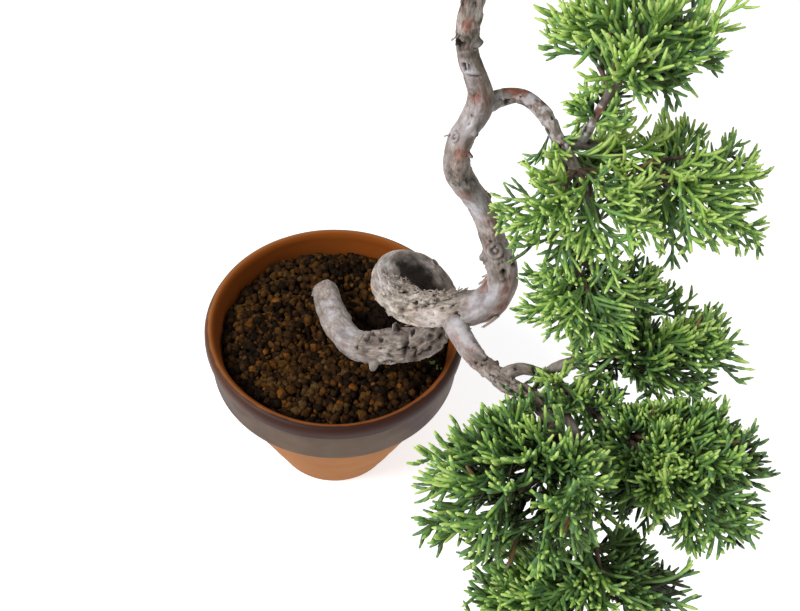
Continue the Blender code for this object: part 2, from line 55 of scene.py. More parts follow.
# ------------------------------------------------------------------ small tools
def linear(hex_colour: str) -> tuple[float, float, float, float]:
    """The linear colour, with alpha 1, of an sRGB hex value such as "#b5815a"."""
    channels = np.array([int(hex_colour[k:k + 2], 16) for k in (1, 3, 5)]) / 255
    curved = ((channels + 0.055) / 1.055) ** 2.4
    return (*np.where(channels <= 0.04045, channels / 12.92, curved).tolist(), 1.0)


def unit(vectors: np.ndarray) -> np.ndarray:
    """The vectors, along the last axis, each at length 1."""
    return vectors / np.maximum(np.linalg.norm(vectors, axis=-1, keepdims=True), 1e-9)


def smooth_step(low: float, high: float, values: np.ndarray) -> np.ndarray:
    """0 below low, 1 above high, and an S curve between them."""
    share = np.clip((values - low) / (high - low), 0, 1)
    return share * share * (3 - 2 * share)


def add_node(tree: bpy.types.NodeTree, kind: str, settings: Optional[dict] = None,
             links: Optional[dict] = None) -> bpy.types.Node:
    """Adds a node with its settings and its incoming links.

    Args:
        tree: The material's or world's node tree.
        kind: Blender's name of the node type.
        settings: Values by attribute name or by input name or number; "stops" fills a colour ramp.
        links: The sockets that feed the node's inputs, by input name or number.

    Returns:
        The new node.
    """
    node = tree.nodes.new(kind)
    for key, value in (settings or {}).items():
        if key == "stops":
            while len(node.color_ramp.elements) < len(value):
                node.color_ramp.elements.new(1.0)
            for stop, (place, colour) in zip(node.color_ramp.elements, value):
                stop.position = place
                stop.color = colour
        elif isinstance(key, str) and hasattr(node, key):
            setattr(node, key, value)
        else:
            node.inputs[key].default_value = value
    for key, socket in (links or {}).items():
        tree.links.new(socket, node.inputs[key])
    return node


class Noise:
    """Smooth seeded noise in space, from -1 to 1."""

    CELLS = 32

    def __init__(self, seed: int) -> None:
        """Fills the lattice with even random values."""
        self.lattice = np.random.default_rng(seed).uniform(-1, 1, (self.CELLS,) * 3)

    def at(self, points: np.ndarray, size: float) -> np.ndarray:
        """The noise at some points: lattice values one size apart, blended by S curves along each axis.

        Args:
            points: (..., 3) places.
            size: The distance between lattice points, in the same unit.

        Returns:
            One value a point.
        """
        place = points / size
        cell = np.floor(place).astype(int)
        part = place - cell
        part = part * part * (3 - 2 * part)
        total = np.zeros(points.shape[:-1])
        for corner in np.ndindex(2, 2, 2):
            weight = np.where(corner, part, 1 - part).prod(axis=-1)
            x, y, z = np.moveaxis((cell + corner) % self.CELLS, -1, 0)
            total += weight * self.lattice[x, y, z]
        return total

    def layered(self, points: np.ndarray, size: float, layers: int) -> np.ndarray:
        """The sum of layers of noise, each half as large and half as strong as the one before."""
        return sum(self.at(points + 7.3 * k * size, size / 2**k) / 2**k for k in range(layers))


def build_mesh(name: str, vertices: np.ndarray, faces: Sequence[np.ndarray],
               finishes: Sequence[bpy.types.Material], slots: Optional[np.ndarray] = None,
               values: Optional[dict] = None, uv: Optional[np.ndarray] = None) -> bpy.types.Object:
    """Puts whole arrays of vertices and faces into a smooth-shaded mesh object at the origin.

    Args:
        name: The piece's name.
        vertices: (n, 3) places in metres.
        faces: Arrays of vertex numbers, (m, 3) or (m, 4), in the order in which slots lists them.
        finishes: The piece's materials.
        slots: The number of the material of each face.
        values: Arrays of one number a vertex, by attribute name.
        uv: (n, 2) places on the surface, one a vertex.

    Returns:
        The object, linked to the scene.
    """
    mesh = bpy.data.meshes.new(name)
    corners = np.concatenate([part.ravel() for part in faces]).astype(np.int32)
    sizes = np.concatenate([np.full(len(part), part.shape[1]) for part in faces])
    mesh.vertices.add(len(vertices))
    mesh.vertices.foreach_set("co", vertices.astype(np.float32).ravel())
    mesh.loops.add(len(corners))
    mesh.loops.foreach_set("vertex_index", corners)
    mesh.polygons.add(len(sizes))
    mesh.polygons.foreach_set("loop_start", np.concatenate([[0], np.cumsum(sizes)[:-1]]).astype(np.int32))
    if slots is not None:
        mesh.polygons.foreach_set("material_index", slots.astype(np.int32))
    mesh.update(calc_edges=True)
    for key, numbers in (values or {}).items():
        attribute = mesh.attributes.new(key, "FLOAT", "POINT")
        attribute.data.foreach_set("value", numbers.astype(np.float32).ravel())
    if uv is not None:
        layer = mesh.uv_layers.new(name="surface")
        layer.data.foreach_set("uv", uv[corners].astype(np.float32).ravel())
    mesh.shade_smooth()
    for finish in finishes:
        mesh.materials.append(finish)
    made = bpy.data.objects.new(name, mesh)
    bpy.context.scene.collection.objects.link(made)
    return made


def dress(piece: bpy.types.Object, slot: str, *nodes: str) -> bpy.types.Object:
    """Makes a piece ride on the plant's one body and hides the solids that it stands for.

    Args:
        piece: The mesh object.
        slot: Not used.
        nodes: The names of the solids that it stands for.

    Returns:
        The same piece.
    """
    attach(piece, "root")
    if nodes:
        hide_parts(*nodes)
    triangles = sum(len(face.vertices) - 2 for face in piece.data.polygons)
    log.info("%s: %d triangles", piece.name, triangles)
    return piece


def ring_faces(rows: int, around: int) -> np.ndarray:
    """The quads of a tube of rows of vertices that closes round on itself, turned outwards.

    Args:
        rows: How many rings the tube has.
        around: How many points each ring has.

    Returns:
        (m, 4) vertex numbers.
    """
    row, column = np.meshgrid(np.arange(rows - 1), np.arange(around), indexing="ij")
    after = (column + 1) % around
    first, second = row * around, (row + 1) * around
    return np.stack([first + column, first + after, second + after, second + column], axis=-1).reshape(-1, 4)


def cap_faces(first: int, pole: int, around: int, flip: bool) -> np.ndarray:
    """The triangles that close a ring of vertices, from number first on, to a pole.

    Args:
        first: The number of the ring's first vertex.
        pole: The pole's number.
        around: How many points the ring has.
        flip: Whether the pole ends the tube, and does not start it.

    Returns:
        (around, 3) vertex numbers.
    """
    column = np.arange(around)
    after = (column + 1) % around
    pair = (column, after) if flip else (after, column)
    return np.stack([first + pair[0], first + pair[1], np.full(around, pole)], axis=-1)


def tube_faces(rows: int, around: int) -> list[np.ndarray]:
    """The faces of a closed tube, whose two poles come after the vertices of its rows."""
    count = rows * around
    return [ring_faces(rows, around), cap_faces(0, count, around, False),
            cap_faces(count - around, count + 1, around, True)]


def grid_faces(grid: np.ndarray) -> np.ndarray:
    """The quads between the neighbours in a grid of vertex numbers."""
    return np.stack([grid[:-1, :-1], grid[1:, :-1], grid[1:, 1:], grid[:-1, 1:]], axis=-1).reshape(-1, 4)


def repeated(faces: np.ndarray, count: int, size: int) -> np.ndarray:
    """The faces of count copies of a shape of size vertices, one copy after another."""
    return (faces + (np.arange(count) * size)[:, None, None]).reshape(-1, faces.shape[1])


def resampled(line: np.ndarray, share: np.ndarray) -> np.ndarray:
    """The places at shares from 0 to 1 of a line whose points stand for even shares."""
    knots = np.linspace(0, 1, len(line))
    return np.stack([np.interp(share, knots, line[:, axis]) for axis in range(3)], axis=1)


def sideways(headings: np.ndarray) -> np.ndarray:
    """A direction square to each heading: its cross product with +Z, or with +X where it is steep."""
    return unit(np.cross(headings, np.where(np.abs(headings[:, 2:]) < 0.9, (0, 0, 1), (1, 0, 0))))


def frames(heading: np.ndarray, reference: np.ndarray) -> tuple[np.ndarray, np.ndarray]:
    """Two directions square to each (n, k, 3) heading: one near its line's reference, and one across.

    Args:
        heading: (n, k, 3) directions along n lines.
        reference: (n, 3) directions, one a line.

    Returns:
        The two (n, k, 3) directions.
    """
    reference = reference[:, None]
    side = unit(reference - heading * (heading * reference).sum(axis=2, keepdims=True))
    return side, np.cross(heading, side)


# ------------------------------------------------------------------ finishes
class Shading:
    """A new material with its Principled shader, and short ways to add the nodes that feed it.

    A value is a number or a socket, a colour is a hex value or a socket, and each way gives a socket.
    """

    def __init__(self, name: str, sockets: dict) -> None:
        """Makes the material and sets the shader's own sockets, by name.

        Args:
            name: The material's name.
            sockets: Values by the name of the shader's input.
        """
        self.material = bpy.data.materials.new(name)
        self.material.use_nodes = True
        self.tree = self.material.node_tree
        self.shader = self.tree.nodes["Principled BSDF"]
        for key, value in sockets.items():
            self.shader.inputs[key].default_value = value

    def place(self) -> Any:
        """The place on the object, in metres."""
        return add_node(self.tree, "ShaderNodeTexCoord").outputs["Object"]

    def maths(self, operation: str, *values: Any) -> Any:
        """The result of an operation on one to three values."""
        numbers = {key: value for key, value in enumerate(values) if isinstance(value, (int, float))}
        links = {key: value for key, value in enumerate(values) if key not in numbers}
        return add_node(self.tree, "ShaderNodeMath", {"operation": operation, **numbers}, links).outputs[0]

    def noise(self, place: Any, size: float, detail: float, roughness: float = 0.5) -> Any:
        """Noise from 0 to 1 whose waves are one size long."""
        settings = {"Scale": 1 / size, "Detail": detail, "Roughness": roughness}
        return add_node(self.tree, "ShaderNodeTexNoise", settings, {"Vector": place}).outputs["Fac"]

    def span(self, value: Any, low: float, high: float, to_low: float = 0, to_high: float = 1,
             curve: str = "LINEAR") -> Any:
        """A value moved from the range low to high into another range."""
        settings = {"interpolation_type": curve, "From Min": low, "From Max": high,
                    "To Min": to_low, "To Max": to_high}
        return add_node(self.tree, "ShaderNodeMapRange", settings, {"Value": value}).outputs["Result"]

    def ramp(self, value: Any, *stops: tuple[float, str]) -> Any:
        """The colour of a value on a ramp of places and hex colours."""
        settings = {"stops": [(place, linear(colour)) for place, colour in stops]}
        return add_node(self.tree, "ShaderNodeValToRGB", settings, {"Fac": value}).outputs["Color"]

    def mixed(self, share: Any, low: Any, high: Any) -> Any:
        """A mix of two colours by a share."""
        settings = {key: linear(part) for key, part in ((6, low), (7, high)) if isinstance(part, str)}
        links = {key: part for key, part in ((6, low), (7, high)) if not isinstance(part, str)}
        return add_node(self.tree, "ShaderNodeMix", {"data_type": "RGBA", **settings},
                        {0: share, **links}).outputs[2]

    def finished(self, colour: Any, height: Any, strength: float, depth: float,
                 roughness: Any = None) -> bpy.types.Material:
        """The material, once its colour, the relief that its bump takes and its roughness are linked.

        Args:
            colour: The socket of the base colour.
            height: The socket of the relief.
            strength: The bump's strength.
            depth: How deep the relief is, in metres.
            roughness: The socket of the roughness, if it varies.

        Returns:
            The material.
        """
        bump = add_node(self.tree, "ShaderNodeBump", {"Strength": strength, "Distance": depth},
                        {"Height": height})
        self.tree.links.new(colour, self.shader.inputs["Base Color"])
        self.tree.links.new(bump.outputs["Normal"], self.shader.inputs["Normal"])
        if roughness is not None:
            self.tree.links.new(roughness, self.shader.inputs["Roughness"])
        return self.material


@dataclass(frozen=True)
class SlipGlazedTerracotta:
    """Terracotta, thrown on a wheel and fired, its collar and lip dipped in a dark iron slip.

    The bare clay is dull, orange and finely speckled, with faint turning rings. The slip is
    grey-brown with a soft gloss. The pot was dipped at a tilt, so on the lip the slip is dark
    and thick at the front and right, and thin and warm at the back and left.
    """

    clay: str = "#a77040"
    clay_shade: str = "#915d32"
    # The inside's darker, more saturated orange is painted shade and painted interreflection.
    inside: str = "#7d3e06"
    slip: str = "#584534"
    # Painted shade and warm reflection where the collar turns away on both sides, and blotches of darker
    # slip.
    slip_warm_and_side_shade: str = "#371d0e"
    lip: str = "#34180e"
    lip_thin: str = "#5c351b"
    slip_bottom: float = 86.4 * MM
    lip_bottom: float = 109 * MM
    crest: float = 72.0 * MM  # the radius at which the slip ends on top of the lip
    clay_roughness: float = 0.82
    slip_roughness: float = 0.42
    grit: float = 0.5 * MM
    speckle: str = "#7c4a2a"
    speckled: tuple = (0.62, 0.8, 0.35)  # the grains that are speckles, and how much they show
    blotch: float = 22 * MM
    wave: float = 9 * MM  # of the slip's wandering edges
    wander: float = 0.8 * MM  # how far they wander to either side
    dipped: tuple = (0.55, -0.83, 0.0)  # the side on which the slip is thick
    crest_tilt: float = 0.012  # how much further in the slip reaches there, by the distance that way
    lip_thins: tuple = (-60 * MM, 35 * MM)  # the distances that way between which the lip darkens
    face: tuple = (69.3 * MM, 70.1 * MM)  # the radii over which the slip on the collar's face starts
    mouth: tuple = (73.2 * MM, 70 * MM)  # the radii over which the inside's colour, painted shade and interreflection, takes over
    inside_rise: tuple = (12 * MM, 60 * MM)  # and the heights over which it grows stronger
    side_shade_rate: float = 0.45 / (70 * MM)  # painted shade and warm reflection: how much of the darker warm slip shows, by the distance to either side
    turning: float = 1.3 * MM  # from one turning ring to the next

    def material(self) -> bpy.types.Material:
        """The node material: clay and slip mixed by height and radius, each with its own grain.

        Returns:
            The material.
        """
        made = Shading("terracotta_with_slip_glaze", {"IOR": 1.5, "Specular IOR Level": 0.22})
        place = made.place()
        axes = add_node(made.tree, "ShaderNodeSeparateXYZ", links={0: place}).outputs
        flat = add_node(made.tree, "ShaderNodeCombineXYZ", links={"X": axes["X"], "Y": axes["Y"]}).outputs[0]
        radius = add_node(made.tree, "ShaderNodeVectorMath", {"operation": "LENGTH"},
                          {0: flat}).outputs["Value"]
        tilt = add_node(made.tree, "ShaderNodeVectorMath", {"operation": "DOT_PRODUCT", 1: self.dipped},
                        {0: flat}).outputs["Value"]
        height = axes["Z"]
        wander = made.noise(place, self.wave, 3)
        grains = made.noise(place, self.grit, 2)
        blotches = made.noise(place, self.blotch, 4)
        shift = made.maths("MULTIPLY_ADD", wander, 2 * self.wander, -self.wander)

        def band(value: Any, low: float, high: float) -> Any:
            """A soft step of a length, with the slip's wandering edge."""
            return made.span(made.maths("ADD", value, shift), low, high, curve="SMOOTHSTEP")

        on_side = band(height, self.slip_bottom, self.slip_bottom + 0.5 * MM)
        reach = made.maths("MULTIPLY_ADD", tilt, self.crest_tilt, radius)
        on_crest = band(reach, self.crest - 0.5 * MM, self.crest + 0.9 * MM)
        outside = made.span(radius, *self.face)
        below = made.span(height, self.lip_bottom + 1.2 * MM, self.lip_bottom - 0.8 * MM)
        slipped = made.maths("MAXIMUM", on_crest, made.maths("MULTIPLY", outside, below))
        slipped = made.maths("MULTIPLY", on_side, slipped)
        on_lip = band(height, self.lip_bottom - 1.2 * MM, self.lip_bottom + 0.4 * MM)
        # Inside the mouth, the painted shade and interreflection of the inside's colour take over.
        inner = made.maths("MULTIPLY", made.span(radius, *self.mouth), made.span(height, *self.inside_rise))
        inner = made.maths("MULTIPLY", inner, on_side)
        clay = made.mixed(inner, made.mixed(blotches, self.clay_shade, self.clay), self.inside)
        low, high, strength = self.speckled
        clay = made.mixed(made.span(grains, low, high, 0, strength), clay, self.speckle)
        # Painted shade and warm reflection towards both sides of the collar, mixed with random blotches.
        beside = made.maths("MULTIPLY_ADD", made.maths("ABSOLUTE", axes["X"]), self.side_shade_rate, blotches)
        slip = made.mixed(made.span(beside, 0.55, 0.95), self.slip, self.slip_warm_and_side_shade)
        lip = made.mixed(made.span(tilt, *self.lip_thins), self.lip_thin, self.lip)
        colour = made.mixed(slipped, clay, made.mixed(on_lip, slip, lip))
        roughness = made.span(slipped, 0, 1, self.clay_roughness, self.slip_roughness)
        dulled = made.maths("MULTIPLY_ADD", wander, 0.16, roughness)
        rings = {"noise_dimensions": "1D", "Scale": 1 / self.turning}
        turning = add_node(made.tree, "ShaderNodeTexNoise", rings, {"W": height}).outputs["Fac"]
        relief = made.maths("MULTIPLY_ADD", turning, 0.5, grains)
        return made.finished(colour, relief, 0.3, 0.12 * MM, dulled)


@dataclass(frozen=True)
class BakedClayGrain:
    """Granular bonsai soil: baked clay and bark crumbs, rough, dull and porous, darker where damp and where
    shade is painted.
    """

    name: str
    colour: str
    shade: str
    roughness: float = 0.95
    blotch: float = 3 * MM
    pore: float = 0.7 * MM

    def material(self) -> bpy.types.Material:
        """The node material: two tones that change from crumb to crumb, over a pitted surface.

        Returns:
            The material.
        """
        made = Shading(self.name, {"Roughness": self.roughness, "Specular IOR Level": 0.1})
        place = made.place()
        colour = made.ramp(made.noise(place, self.blotch, 3), (0.35, self.shade), (0.65, self.colour))
        return made.finished(colour, made.noise(place, self.pore, 3), 0.7, 0.3 * MM)


@dataclass(frozen=True)
class JuniperBark:
    """Old juniper bark: a silver-grey skin over tan fibres that peel in strips.

    The tight skin on the bends is smooth with a soft lilac sheen, partly a painted highlight. Where
    it has weathered it is a rough tan, with dark cracks and pits in painted shade, and fresh skin
    beside a peeled strip is pinkish brown.
    """

    name: str = "juniper_bark"
    fibre: float = 0.9 * MM  # across the fibres
    fibre_length: float = 4 * MM
    patch: float = 7 * MM
    speck: float = 1.1 * MM
    roughness: float = 0.72

    def material(self) -> bpy.types.Material:
        """The node material: tones along the fibres, dealt by the mesh's own weathering and by its painted
        shade in hollows and inside the coil.

        Returns:
            The material.
        """
        made = Shading(self.name, {"Specular IOR Level": 0.06, "Sheen Weight": 0.05, "Sheen Roughness": 0.4})
        surface = add_node(made.tree, "ShaderNodeUVMap", {"uv_map": "surface"}).outputs["UV"]
        along = add_node(made.tree, "ShaderNodeMapping",
                         {"Scale": (1 / self.fibre, 1 / self.fibre_length, 1.0)}, {"Vector": surface})
        fibres = made.noise(along.outputs[0], 1.0, 4, 0.6)
        place = made.place()
        patches = made.noise(place, self.patch, 5, 0.6)
        specks = made.noise(place, self.speck, 3)
        blended = made.maths("MULTIPLY_ADD", fibres, 0.55, made.maths("MULTIPLY", patches, 0.45))
        shares = {key: add_node(made.tree, "ShaderNodeAttribute", {"attribute_name": key}).outputs["Fac"]
                  for key in BARK_TONES}
        ramps = {
            "weathered": (blended, (0.3, "#5f554c"), (0.45, "#9d938a"), (0.6, "#c5bbb2"), (0.78, "#e5dfd8")),
            "tan": (blended, (0.3, "#685b4f"), (0.48, "#a99c8f"), (0.62, "#cbc0b5"), (0.8, "#e8e1d8")),
            "brown": (blended, (0.3, "#352a25"), (0.48, "#64554c"), (0.62, "#8b7c72"), (0.8, "#b0a399")),
            "pink": (blended, (0.3, "#59352d"), (0.5, "#8f6052"), (0.7, "#bd9284")),
            # The pale tone: the bark's own pale lichen and bare wood, and the painted lilac highlight of
            # SHINE marks.
            "pale": (patches, (0.3, "#a59fa2"), (0.6, "#cbc7cd")),
        }
        colour = made.ramp(patches, (0.25, "#5c504e"), (0.42, "#8a807d"), (0.58, "#a8a1a4"),
                           (0.75, "#c2bec6"))
        for tone, (value, *stops) in ramps.items():
            colour = made.mixed(shares[tone], colour, made.ramp(value, *stops))
        # The freckles are the bark's own; the painted shade mixes in the same near-black.
        freckles = made.maths("MULTIPLY", made.span(specks, 0.6, 0.72, 0, 0.55), shares["weathered"])
        dark = made.maths("MAXIMUM", freckles, shares["hollow"])
        colour = made.mixed(dark, colour, made.ramp(patches, (0.3, "#070504"), (0.7, "#1d1712")))
        relief = made.maths("MULTIPLY_ADD", specks, 0.8, fibres)
        rough = made.span(shares["weathered"], 0, 1, self.roughness - 0.22, self.roughness + 0.1)
        return made.finished(colour, relief, 0.6, 0.35 * MM, rough)


class Tint(Enum):
    """The tints of the scale leaves, from the shaded base of a shoot to its growing tip; a stretch's tint is
    partly painted light and shade.
    """

    DEEP = "#232d0d"
    DARK = "#435a27"
    BLUE = "#587c4f"
    MID = "#618443"
    FRESH = "#759c50"
    BRIGHT = "#90b351"
    PALE = "#adc66b"
    DRY = "#7a5c40"


@dataclass(frozen=True)
class ScaleLeaf:
    """Living juniper scale leaves: a thin wax over green tissue, which gives them a soft satin light.

    One plain colour a tint, dealt out by shoot, because the change from shaded base to bright tip
    has its place on each shoot.
    """

    tint: Tint
    roughness: float = 0.5

    def material(self) -> bpy.types.Material:
        """The plain material of one tint."""
        sockets = {"Base Color": linear(self.tint.value), "Roughness": self.roughness, "IOR": 1.42}
        return Shading("scale_leaves_" + self.tint.name.lower(), sockets).material


@dataclass(frozen=True)
class TwigBark:
    """The thin bark of young juniper twigs: reddish brown, papery and dull, greener near the shoots."""

    colour: str = "#6b5442"
    shade: str = "#3a2d27"
    streak: float = 2.2 * MM
    roughness: float = 0.8

    def material(self) -> bpy.types.Material:
        """The node material: streaked brown over fine relief.

        Returns:
            The material.
        """
        made = Shading("juniper_twig_bark", {"Roughness": self.roughness})
        tones = made.noise(made.place(), self.streak, 4)
        colour = made.ramp(tones, (0.35, self.shade), (0.65, self.colour))
        return made.finished(colour, tones, 0.6, 0.2 * MM)


# ------------------------------------------------------------------ pot
@dataclass
class Pot:
    """A wheel-thrown clay pot: a bare cone, a straight slipped collar and a rounded lip, with drain holes."""

    diameter: float = 150 * MM
    height: float = 118 * MM
    foot_diameter: float = 78 * MM
    foot_ring: float = 7 * MM  # the width of the ring that it stands on
    foot_recess: float = 2 * MM  # how far the underside lies over the ring
    collar_height: float = 31.5 * MM
    collar_step: float = 3 * MM
    collar_taper: float = 0.5 * MM
    lip_height: float = 9 * MM
    lip_overhang: float = 1.6 * MM
    wall: float = 7 * MM
    mouth_diameter: float = 137 * MM
    floor: float = 9 * MM
    drain_holes: int = 3
    drain_diameter: float = 11 * MM
    drain_circle: float = 44 * MM
    around: int = 160
    longest_run: float = 1.6 * MM
    unevenness: float = 0.16 * MM
    finish: SlipGlazedTerracotta = field(default_factory=SlipGlazedTerracotta)

    def body_radius(self, height: float) -> float:
        """The outer radius on the cone below the collar."""
        foot = self.foot_diameter / 2
        under_collar = self.diameter / 2 - self.lip_overhang - self.collar_step
        return foot + (under_collar - foot) * height / (self.height - self.collar_height)

    def inside_radius(self, height: float) -> float:
        """The inner radius: a wall's thickness inside the cone, and wider towards the lip.

        Args:
            height: A height over the ground, above the floor.

        Returns:
            The radius there.
        """
        collar_bottom = self.height - self.collar_height
        if height <= collar_bottom:
            return self.body_radius(height) - self.wall
        share = (height - collar_bottom) / self.collar_height
        return (self.body_radius(collar_bottom) - self.wall) * (1 - share) + self.mouth_diameter / 2 * share

    def profile(self) -> np.ndarray:
        """The (radius, height) line from the underside's centre up the outside, over the lip and down inside.

        Straight runs joined by corners, each eased by its own small arc, and a half ellipse for the lip.

        Returns:
            (n, 2) rows of radius and height.
        """
        foot, collar = self.foot_diameter / 2, self.diameter / 2 - self.lip_overhang
        collar_bottom = self.height - self.collar_height
        lip_bottom = self.height - self.lip_height
        rim_inside = self.inside_radius(self.height)
        middle, half = (self.diameter / 2 + rim_inside) / 2, (self.diameter / 2 - rim_inside) / 2
        corners = [
            (0, self.foot_recess, 0.0),
            (foot - self.foot_ring - self.foot_recess, self.foot_recess, 1.5 * MM),
            (foot - self.foot_ring, 0, 1 * MM), (foot, 0, 1.5 * MM),
            (self.body_radius(collar_bottom), collar_bottom, 0.8 * MM),
            (collar - self.collar_taper, collar_bottom, 1.2 * MM),
            (collar, lip_bottom, 0.9 * MM), (self.diameter / 2, lip_bottom + 0.4 * MM, 1.2 * MM),
        ]
        lip = self.height - self.lip_height / 2
        corners += [(middle + half * math.cos(angle), lip + self.lip_height / 2 * math.sin(angle), 0.0)
                    for angle in np.linspace(0, math.pi, 15)]
        corners += [
            (self.inside_radius(collar_bottom), collar_bottom, 6 * MM),
            (self.inside_radius(self.floor), self.floor, 4 * MM), (0, self.floor, 0.0),
        ]
        return eased_line(np.array(corners), self.longest_run)

    def build(self) -> bpy.types.Object:
        """The pot as one turned mesh: its profile carried round the axis and swollen a little by noise.

        Each point stands at its profile's radius plus the unevenness of the thrower's hand, which
        changes with height and, more slowly, with the angle.

        Returns:
            The dressed piece.
        """
        profile = self.profile()
        vertices, faces = turned(profile, self.around)
        radius = np.linalg.norm(vertices[:, :2], axis=1)
        probe = np.column_stack([vertices[:, :2] * 0.25, vertices[:, 2]])
        swell = Noise(5).layered(probe, 7 * MM, 3) * self.unevenness * smooth_step(0, 20 * MM, radius)
        outwards = unit(np.column_stack([vertices[:, :2], np.zeros(len(vertices))]))
        vertices = vertices + outwards * swell[:, None]
        piece = build_mesh("pot_shell", vertices, faces, [self.finish.material()])
        self._drill(piece)
        return dress(piece, "terracotta", "pot")

    def _drill(self, piece: bpy.types.Object) -> None:
        """Cuts the drain holes through the floor with one Boolean, and bakes it.

        Args:
            piece: The shell, whose mesh is replaced by the drilled one.
        """
        drills = []
        for number in range(self.drain_holes):
            angle = 2 * math.pi * (number + 0.5) / self.drain_holes
            line = np.array([(0, -6), (1, -6), (1, 16), (0, 16)]) * (self.drain_diameter / 2, MM)
            vertices, faces = turned(line, 32)
            vertices[:, 0] += self.drain_circle / 2 * math.cos(angle)
            vertices[:, 1] += self.drain_circle / 2 * math.sin(angle)
            drills.append(build_mesh("drill", vertices, faces, []))
        for drill in drills:
            boolean = piece.modifiers.new("drain", "BOOLEAN")
            boolean.operation, boolean.solver, boolean.object = "DIFFERENCE", "EXACT", drill
        graph = bpy.context.evaluated_depsgraph_get()
        baked = bpy.data.meshes.new_from_object(piece.evaluated_get(graph))
        piece.modifiers.clear()
        piece.data = baked
        for drill in drills:
            bpy.data.objects.remove(drill)


def eased_line(corners: np.ndarray, longest: float) -> np.ndarray:
    """A line through corners, each rounded by a parabola, with no step longer than the longest.

    Args:
        corners: (n, 3) rows of radius, height and the corner's own rounding.
        longest: The longest step along the line.

    Returns:
        (m, 2) rows of radius and height.
    """
    points = [corners[:1, :2]]
    share = np.linspace(0, 1, 5)[:, None]
    for before, here, after in zip(corners, corners[1:], corners[2:]):
        if here[2] == 0:
            points.append(here[None, :2])
            continue
        reach_in = min(here[2], 0.45 * np.linalg.norm(before[:2] - here[:2]))
        reach_out = min(here[2], 0.45 * np.linalg.norm(after[:2] - here[:2]))
        start = here[:2] + unit(before[:2] - here[:2]) * reach_in
        end = here[:2] + unit(after[:2] - here[:2]) * reach_out
        points.append((1 - share) ** 2 * start + 2 * share * (1 - share) * here[:2] + share**2 * end)
    line = np.vstack([*points, corners[-1:, :2]])
    runs = [line[:1]]
    for start, end in zip(line, line[1:]):
        steps = max(1, math.ceil(np.linalg.norm(end - start) / longest))
        runs.append(start + (end - start) * (np.arange(1, steps + 1) / steps)[:, None])
    return np.vstack(runs)


def turned(profile: np.ndarray, around: int) -> tuple[np.ndarray, list[np.ndarray]]:
    """A closed surface of revolution round +Z: (radius cos a, radius sin a, height) for each angle a.

    Args:
        profile: (n, 2) rows of radius and height, from pole to pole, up the outside first.
        around: How many points each ring has.

    Returns:
        The vertices, and the arrays of faces.
    """
    angle = 2 * math.pi * np.arange(around) / around
    rings = profile[1:-1]
    circle = np.stack([np.cos(angle), np.sin(angle)], axis=-1)
    heights = np.broadcast_to(rings[:, None, 1:], (len(rings), around, 1))
    places = np.concatenate([rings[:, None, :1] * circle, heights], axis=2).reshape(-1, 3)
    poles = np.array([(0, 0, profile[0, 1]), (0, 0, profile[-1, 1])])
    return np.vstack([places, poles]), tube_faces(len(rings), around)


# ------------------------------------------------------------------ soil
class GrainTone(Enum):
    """The kinds of crumb in the soil: its colour, the shade of its damp side and its share of the whole."""

    BLACK_BARK = ("#20140a", "#0e0804", 0.2)
    DAMP_CLAY = ("#3d2711", "#1d1106", 0.42)
    OCHRE_CLAY = ("#5a3a16", "#332008", 0.26)
    ORANGE_CLAY = ("#794b19", "#4c2b0b", 0.06)
    DUSTY_CLAY = ("#5a4224", "#33230e", 0.06)


